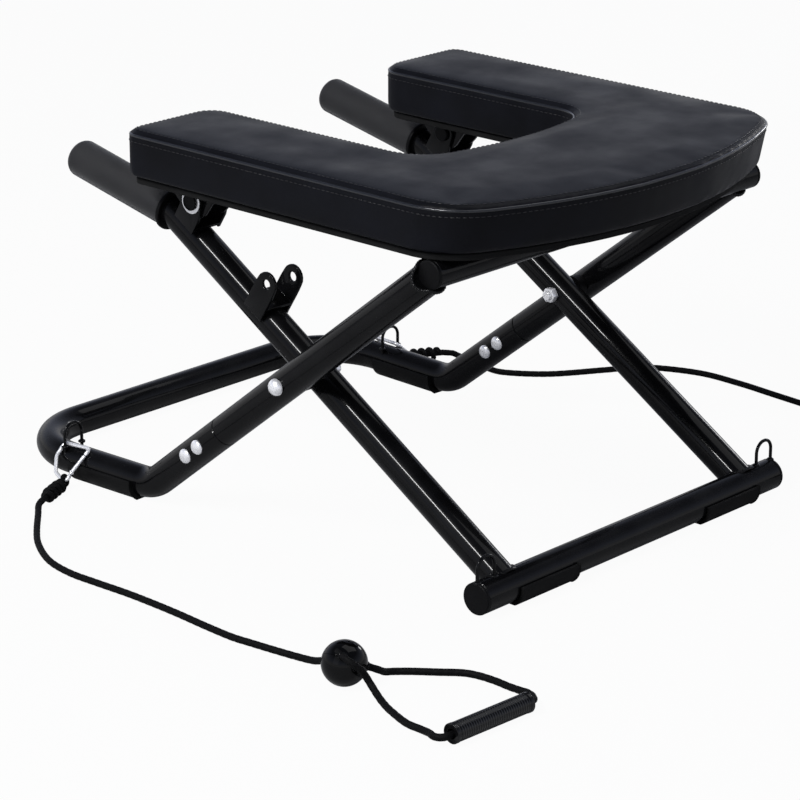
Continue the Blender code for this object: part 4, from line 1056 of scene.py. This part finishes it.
def make_pivots():
    head_seat = ARM_X + TUBE_RADIUS + GAP
    tail = LEG_X - TUBE_RADIUS - GAP - NUT_HEIGHT - BOLT_TAIL
    bolt = [(0, tail, 0), (BOLT_RADIUS, tail, 0.0006)]
    for turn in range(THREAD_TURNS):
        start = tail + 0.0012 + turn * THREAD_PITCH
        bolt += [(BOLT_RADIUS, start, 0), (BOLT_RADIUS - THREAD_DEPTH, start + THREAD_PITCH / 2, 0)]
    bolt += [(BOLT_RADIUS, tail + BOLT_SHANK_FROM_TAIL, 0), (BOLT_RADIUS, head_seat, 0)]
    bolt += [(BOLT_HEAD_RADIUS, head_seat, 0.0002)]
    bolt += dome(BOLT_HEAD_RADIUS, BOLT_HEAD_HEIGHT, head_seat + EDGE)[1:]
    inner, outer = LEG_X + TUBE_RADIUS - 0.001, ARM_X - TUBE_RADIUS - GAP
    spacer = ring_profile(BOLT_RADIUS, SPACER_RADIUS, inner, outer, 0, 0.0006)
    for side in SIGN:
        place = PIVOT @ FLIP[side]
        shown("pivot_bolt_" + side, lathe(bolt), "zinc", place)
        shown("pivot_spacer_" + side, lathe(spacer, closed=True), "black_plastic", place)
        shown("pivot_nut_" + side, softened_node("pivot_nut_" + side, 0.0007), "zinc")


def make_floor_tube():
    rise = Vector((0, cos(ARM_TILT), sin(ARM_TILT)))
    corners = []
    for sign in (1, -1):
        bend, corner = run_ends(sign)
        half = [(bend + rise * SOCKET_LENGTH, 0), (bend, FLOOR_BEND_RADIUS),
                (corner, FLOOR_CORNER_RADIUS)]
        corners += half if sign == 1 else half[::-1]
    shown("floor_tube", pipe(filleted(corners), TUBE_RADIUS), "powder_coat")


def make_arms():
    """The arm tubes, each with a spigot in its socket and a fine groove at the joint."""
    rivet_head = dome(RIVET_HEAD_RADIUS, RIVET_HEAD_HEIGHT, TUBE_RADIUS - 0.0004)
    rivet = mirrored(rivet_head) + [(RIVET_RADIUS, 0, 0)] + rivet_head
    low = SOCKET_LENGTH + GAP - ARM_PIVOT_TO_BEND
    stations = (low - SPIGOT_LENGTH, low - 0.0001, low, low + 0.0009, ARM_PIVOT_TO_REAR - ARM_TRIM)

    def size(distance, angle):
        if distance < SPIGOT_LENGTH - 0.00005:
            return TUBE_RADIUS - SPIGOT_STEP
        return TUBE_RADIUS - (0.0009 if distance < SPIGOT_LENGTH + 0.0004 else 0.0)
    for side, sign in SIGN.items():
        place = ARM @ at(sign * ARM_X)
        fit = saddle_fit(place, ARM_PIVOT_TO_REAR, REAR_TUBE_RADIUS, ARM_TRIM)
        line = [place @ Vector((0, y, 0)) for y in stations]
        shown("arm_tube_" + side, sweep(line, size, end_fit=fit), "powder_coat")
        saddle_weld("arm_weld_" + side, place, fit, "arm_frame")
        for number, station in enumerate(RIVET_STATIONS, 1):
            shown(f"arm_rivet_{side}{number}", lathe(rivet), "zinc",
                  place @ at(0, station - ARM_PIVOT_TO_BEND))


def make_rear_tube():
    place = at(REAR_TUBE_SHIFT, REAR_TUBE.y, REAR_TUBE.z)
    crossbar("rear_tube", "rear_cap_", place, REAR_TUBE_LENGTH, REAR_TUBE_RADIUS)


def make_floor_fittings():
    for side in SIGN:
        foot = run_place(side, FLOOR_FOOT_FROM_BEND)
        shown("floor_foot_" + side, sleeve(FLOOR_FOOT_LENGTH), "black_rubber", foot)
        eyelet = run_place(side, EYELET_FROM_BEND[side]) @ TURN_TO_Y
        make_eyelet("floor_eyelet_" + side, eyelet, "arm_frame")


# Seat

def inset_corners(corners, inset):
    """Move each edge of an anticlockwise outline in by inset, and keep its bends parallel."""
    moved = []
    for index, (place, radius) in enumerate(corners):
        into = (place - corners[index - 1][0]).normalized()
        out = (corners[(index + 1) % len(corners)][0] - place).normalized()
        first = Vector((-into.y, into.x, 0))
        second = Vector((-out.y, out.x, 0))
        shift = (first + second) * (inset / (1 + first.dot(second)))
        bend = radius - inset if into.cross(out).z > 0 else radius + inset
        moved.append((place + shift, max(bend, SMALLEST_CORNER)))
    return moved


def arc_corner(apex, radius, slope):
    """Where the tangents at the ends of an arc meet, which peaks at apex."""
    return apex + radius * (1 / cos(slope) - 1)


def seat_outline(inset, lean=0.0):
    """The U outline, as points on the floor plane, with its rear edge pulled in by lean."""
    rear = BASE_Y + CUSHION_REAR_OVERHANG - lean
    rear_tip = arc_corner(rear, CUSHION_REAR_RADIUS, CUSHION_REAR_SLOPE)
    rear_side = rear_tip - CUSHION_HALF_WIDTH * tan(CUSHION_REAR_SLOPE)
    front = BASE_Y - CUSHION_FRONT_FROM_BASE
    slot_tip = arc_corner(BASE_Y - SLOT_END_FROM_BASE, SLOT_END_RADIUS, SLOT_END_SLOPE)
    slot_side = slot_tip - SLOT_HALF_WIDTH * tan(SLOT_END_SLOPE)
    slot, side = SLOT_HALF_WIDTH, CUSHION_HALF_WIDTH
    horn = [(slot, slot_side, SLOT_CORNER), (slot, front, SLOT_MOUTH_CORNER),
            (side, front, CUSHION_FRONT_CORNER), (side, rear_side, CUSHION_REAR_CORNER)]
    outline = [horn[-1], (0, rear_tip, CUSHION_REAR_RADIUS)]
    outline += [(-x, y, radius) for x, y, radius in reversed(horn)]
    outline += [(0, slot_tip, SLOT_END_RADIUS)] + horn[:-1]
    corners = [(Vector((x, y, 0)), radius) for x, y, radius in outline]
    return filleted(inset_corners(corners, inset), closed=True)


def seat_row(pitch, inset, lean=0.0):
    """Evenly spaced places on the seat's outline, each with the line's direction there."""
    row = even_steps(seat_outline(inset, lean), pitch, closed=True)
    return [(place, (after - place).normalized()) for place, after in zip(row, row[1:] + row[:1])]


def evaluated(piece):
    graph = bpy.context.evaluated_depsgraph_get()
    return bpy.data.meshes.new_from_object(piece.evaluated_get(graph))


def remade(piece):
    """Apply a piece's modifiers."""
    mesh = evaluated(piece)
    piece.modifiers.clear()
    piece.data = mesh


def make_cushion():
    """A crowned pad, pressed outwards against its seams like filled upholstery."""
    base = [
        (seat_outline(CUSHION_BOTTOM_INSET + COVER_INSET, CUSHION_REAR_LEAN), CUSHION_BOTTOM + GAP),
        (seat_outline(COVER_INSET, CUSHION_REAR_LEAN * 0.85), CUSHION_BOTTOM + 0.003)]
    crown = [(seat_outline(inset), SEAM_Z + height) for inset, height in CROWN_LAYERS]
    pad = added("cushion_form", layered(base + crown))
    remesh = pad.modifiers.new("even", "REMESH")
    remesh.mode = "VOXEL"
    remesh.voxel_size = COVER_VOXEL
    remade(pad)
    smooth = pad.modifiers.new("smooth", "SMOOTH")
    smooth.factor = 0.5
    smooth.iterations = 1
    remade(pad)
    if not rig.quick():
        press(pad)
    pad.modifiers.new("fine", "SUBSURF").levels = 1
    remade(pad)
    mesh = pad.data
    bpy.data.objects.remove(pad)
    cushion = shown("pad_cushion", mesh, "seat_leather")
    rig.padded(cushion, fill=0.9)
    return cushion


def press(pad):
    """Let air pressure push the cover out, held at the board and along the top seam."""
    rim = even_steps(seat_outline(0.0), 0.003, closed=True)
    seam = KDTree(len(rim))
    for index, point in enumerate(rim):
        seam.insert((point.x, point.y, SEAM_Z), index)
    seam.balance()
    held = pad.vertex_groups.new(name="held")
    start = [vertex.co.copy() for vertex in pad.data.vertices]
    board_hold, seam_hold, seam_reach = 0.004, 0.9, 0.012
    for index, place in enumerate(start):
        near = seam.find(place)[2]
        low = place.z < CUSHION_BOTTOM + board_hold
        weight = 1.0 if low else max(0.0, seam_hold - near / seam_reach)
        if weight > 0:
            held.add([index], weight, "REPLACE")
    cloth = pad.modifiers.new("cloth", "CLOTH")
    settings = cloth.settings
    settings.quality = 5
    settings.mass = 0.35
    settings.tension_stiffness = settings.compression_stiffness = 60.0
    settings.shear_stiffness = settings.bending_stiffness = 30.0
    settings.use_pressure = True
    settings.uniform_pressure_force = 4.0
    settings.effector_weights.gravity = 0.0
    settings.vertex_group_mass = "held"
    cloth.collision_settings.use_collision = False
    cloth.point_cache.frame_start = 1
    cloth.point_cache.frame_end = PRESS_FRAMES
    for number in range(1, PRESS_FRAMES + 1):
        bpy.context.scene.frame_set(number)
    pressed = [vertex.co.copy() for vertex in evaluated(pad).vertices]
    pad.modifiers.clear()
    for vertex, before, after in zip(pad.data.vertices, start, pressed):
        shift = after - before
        share = PRESS_LIMIT / shift.length if shift.length > PRESS_LIMIT else 1.0
        vertex.co = before + shift * share
    bpy.context.scene.frame_set(1)


def make_seams(cushion):
    """Piping and stitches that follow the cushion's top seam."""
    surface = BVHTree.FromPolygons([v.co for v in cushion.data.vertices],
                                   [tuple(p.vertices) for p in cushion.data.polygons])
    line = []
    for point in even_steps(seat_outline(-0.001), 0.004, closed=True):
        line.append(surface.find_nearest(point + UP * (SEAM_Z + 0.001))[0])
    for _ in range(3):
        line = [(before + point * 2 + after) / 4
                for before, point, after in zip(line[-1:] + line[:-1], line, line[1:] + line[:1])]
    piping = sweep(line, PIPING_RADIUS, sides=12, closed=True, level=True)
    extra("pad_piping", piping, "seat_piping", "seat")
    bm = bmesh.new()
    for inset, height in STITCH_ROWS:
        for point, way in seat_row(STITCH_PITCH, inset):
            place, normal, _, _ = surface.find_nearest(point + UP * (SEAM_Z + height))
            way = (way - normal * way.dot(normal)).normalized()
            turn = axes(way, normal.cross(way), normal)
            stitch = (at(*(place + normal * STITCH_LIFT)) @ turn
                      @ Matrix.Diagonal((*STITCH_SIZE, 1)))
            bmesh.ops.create_icosphere(bm, subdivisions=2, radius=1.0, matrix=stitch)
    extra("pad_stitches", from_bmesh(bm), "thread", "seat")


def make_board():
    edge = 0.0008
    top = BOARD_BOTTOM + BOARD_THICKNESS
    lean = CUSHION_REAR_LEAN
    full, rim = seat_outline(BOARD_INSET, lean), seat_outline(BOARD_INSET + edge, lean)
    layers = [(rim, BOARD_BOTTOM), (full, BOARD_BOTTOM + edge), (full, top - edge), (rim, top)]
    shown("pad_board", layered(layers), "seat_board")
    bm = bmesh.new()
    for point, way in seat_row(STAPLE_PITCH, BOARD_INSET + STAPLE_FROM_EDGE, lean):
        place = at(point.x, point.y, BOARD_BOTTOM) @ axes(way, UP.cross(way), UP)
        bmesh.ops.create_cube(bm, size=1.0, matrix=place @ Matrix.Diagonal((*STAPLE_SIZE, 1)))
    bmesh.ops.bevel(bm, geom=bm.edges[:], offset=0.0002, segments=1, affect="EDGES")
    extra("pad_staples", from_bmesh(bm), "zinc", "seat")


def make_seat_hinges():
    ear_outer = TUBE_RADIUS + GAP + BRACKET_PLATE
    washer_seat = ear_outer + GAP
    washer_top = washer_seat + WASHER_THICKNESS
    cap_seat = washer_top + GAP
    cap_top = cap_seat + HINGE_CAP_HEIGHT
    dish = cap_top - HINGE_CAP_DISH
    tail = -ear_outer - GAP
    tip = tail - PIN_TAIL_HEIGHT
    axle, cap = HINGE_PIN_RADIUS, HINGE_CAP_RADIUS
    pin = [(0, tip, 0), (cap, tip, 0.0012), (cap, tail, 0.0003), (axle, tail, 0),
           (axle, cap_seat, 0), (cap, cap_seat, 0.0003), (cap, cap_top, 0.0006),
           (cap - 0.0013, cap_top, 0.0003), (cap - 0.0018, dish, 0.0003), (0, dish, 0)]
    washer = ring_profile(axle, WASHER_RADIUS, washer_seat, washer_top, 0.0004, 0.0005)
    low = BOARD_BOTTOM - GAP - SEAT_FLANGE_THICKNESS
    across = SEAT_FLANGE_HALF_WIDTH - 0.0055
    front, rear = 0.007 - SEAT_FLANGE_FRONT, SEAT_FLANGE_REAR - 0.007
    corners = ((across, rear), (across, front), (-across, rear), (-across, front))
    upright = turned(radians(-90), "Y")
    for side, sign in SIGN.items():
        place = HINGE @ at(sign * LEG_X)
        node = "pad_bracket_" + side
        shown(node, softened_node(node, 0.0006), "powder_coat")
        shown("hinge_pin_" + side, lathe(pin), "black_plastic", place @ FLIP[side])
        shown("hinge_washer_" + side, lathe(washer, closed=True), "chrome", place @ FLIP[side])
        for number, (x, y) in enumerate(corners):
            spot = at(sign * LEG_X + x, HINGE.translation.y + y, low)
            extra(f"pad_screw_{side}{number}", lathe(SCREW_PROFILE, sides=32), "zinc", "seat",
                  spot @ upright)


# Room

def area_light(name, place, along, size, power):
    """A lamp that points at the chair, with the second of its sizes running along a direction."""
    light = bpy.data.lights.new(name, "AREA")
    light.shape = "RECTANGLE"
    light.size, light.size_y = size
    light.energy = power
    lamp = added(name, light)
    away = (Vector(place) - Vector(LAMP_AIM)).normalized()
    long_way = (Vector(along) - away * away.dot(Vector(along))).normalized()
    lamp.matrix_world = at(*place) @ axes(long_way.cross(away), long_way, away)
    lamp.visible_camera = False


def whitened(tree, surface, white, seen_share, output):
    """Show a surface as plain white: most of it to the camera, a little of it to mirrors."""
    path = node_in(tree, "LightPath", {}).outputs
    seen = sum_in(tree, "MULTIPLY", path["Is Camera Ray"], seen_share)
    mirrored = sum_in(tree, "MAXIMUM", path["Is Glossy Ray"], path["Is Transmission Ray"])
    share = sum_in(tree, "MULTIPLY_ADD", mirrored, MIRRORED_GLOW, seen)
    mix = node_in(tree, "MixShader", {"Fac": share, 1: surface, 2: white})
    fill(tree, tree.nodes[output], {"Surface": mix.outputs["Shader"]})


def make_sky():
    """Pale at the horizon, darker above, and white to the camera."""
    world = bpy.data.worlds.new("studio")
    bpy.context.scene.world = world
    world.use_nodes = True
    tree = world.node_tree
    place = node_in(tree, "TexCoord", {}).outputs["Generated"]
    split = node_in(tree, "SeparateXYZ", {"Vector": place})
    shade = node_in(tree, "ValToRGB", {"Fac": split.outputs["Z"]})
    low, high = shade.color_ramp.elements
    low.position, low.color = 0.10, (0.80, 0.80, 0.82, 1.0)
    high.position, high.color = 0.66, (0.07, 0.08, 0.12, 1.0)
    shade.color_ramp.elements.new(0.32).color = (0.52, 0.57, 0.74, 1.0)
    sky = fill(tree, tree.nodes["Background"], {"Color": shade.outputs["Color"]})
    white = node_in(tree, "Background", {"Color": WHITE})
    whitened(tree, sky.outputs[0], white.outputs[0], 1.0, "World Output")


def make_floor():
    """A pale floor that the camera sees as white, with the chair's shadow on it."""
    bm = bmesh.new()
    bmesh.ops.create_grid(bm, x_segments=1, y_segments=1, size=FLOOR_HALF_SIZE)
    mesh = from_bmesh(bm)
    floor = added("floor", mesh)
    floor.location.z = -FLOOR_DROP
    material = bpy.data.materials.new("floor")
    material.use_nodes = True
    tree = material.node_tree
    matt = fill(tree, tree.nodes["Principled BSDF"], {
        "Base Color": FLOOR_COLOUR, "Roughness": 0.8, "Specular IOR Level": 0.1})
    glow = node_in(tree, "Emission", {"Color": WHITE, "Strength": 1.0})
    whitened(tree, matt.outputs[0], glow.outputs[0], SEEN_GLOW, "Material Output")
    mesh.materials.append(material)
    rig.stage(floor)


def make_room():
    bpy.context.scene.view_settings.view_transform = "Standard"
    make_sky()
    make_floor()
    legs_way = (0, cos(LEG_TILT), -sin(LEG_TILT))
    area_light("strip", (1.90, 0.10, 2.00), legs_way, (0.18, 1.3), 62.0)
    area_light("soft_top", (-0.8, 0.3, 2.4), (0, 1, 0), (2.0, 2.0), 14.0)
    area_light("side_glint", (-2.6, -0.1, 0.80), (0, 1, 0), (0.3, 0.5), 6.0)
    area_light("fill", (2.6, 0.2, 1.2), (0, 0, 1), (1.2, 1.6), 2.0)


make_camera()
make_looks()
for cord_side in SIGN:
    make_cord(cord_side)
make_floor_tube()
make_arms()
make_rear_tube()
make_floor_fittings()
make_legs()
make_base()
make_brackets()
make_pivots()
make_board()
make_seat_hinges()
make_seams(make_cushion())
make_room()

with open("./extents.json", "w") as record:
    json.dump({"at_load": [list(corner) for corner in size_at_load],
               "at_end": [list(corner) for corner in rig.bounds()]}, record)
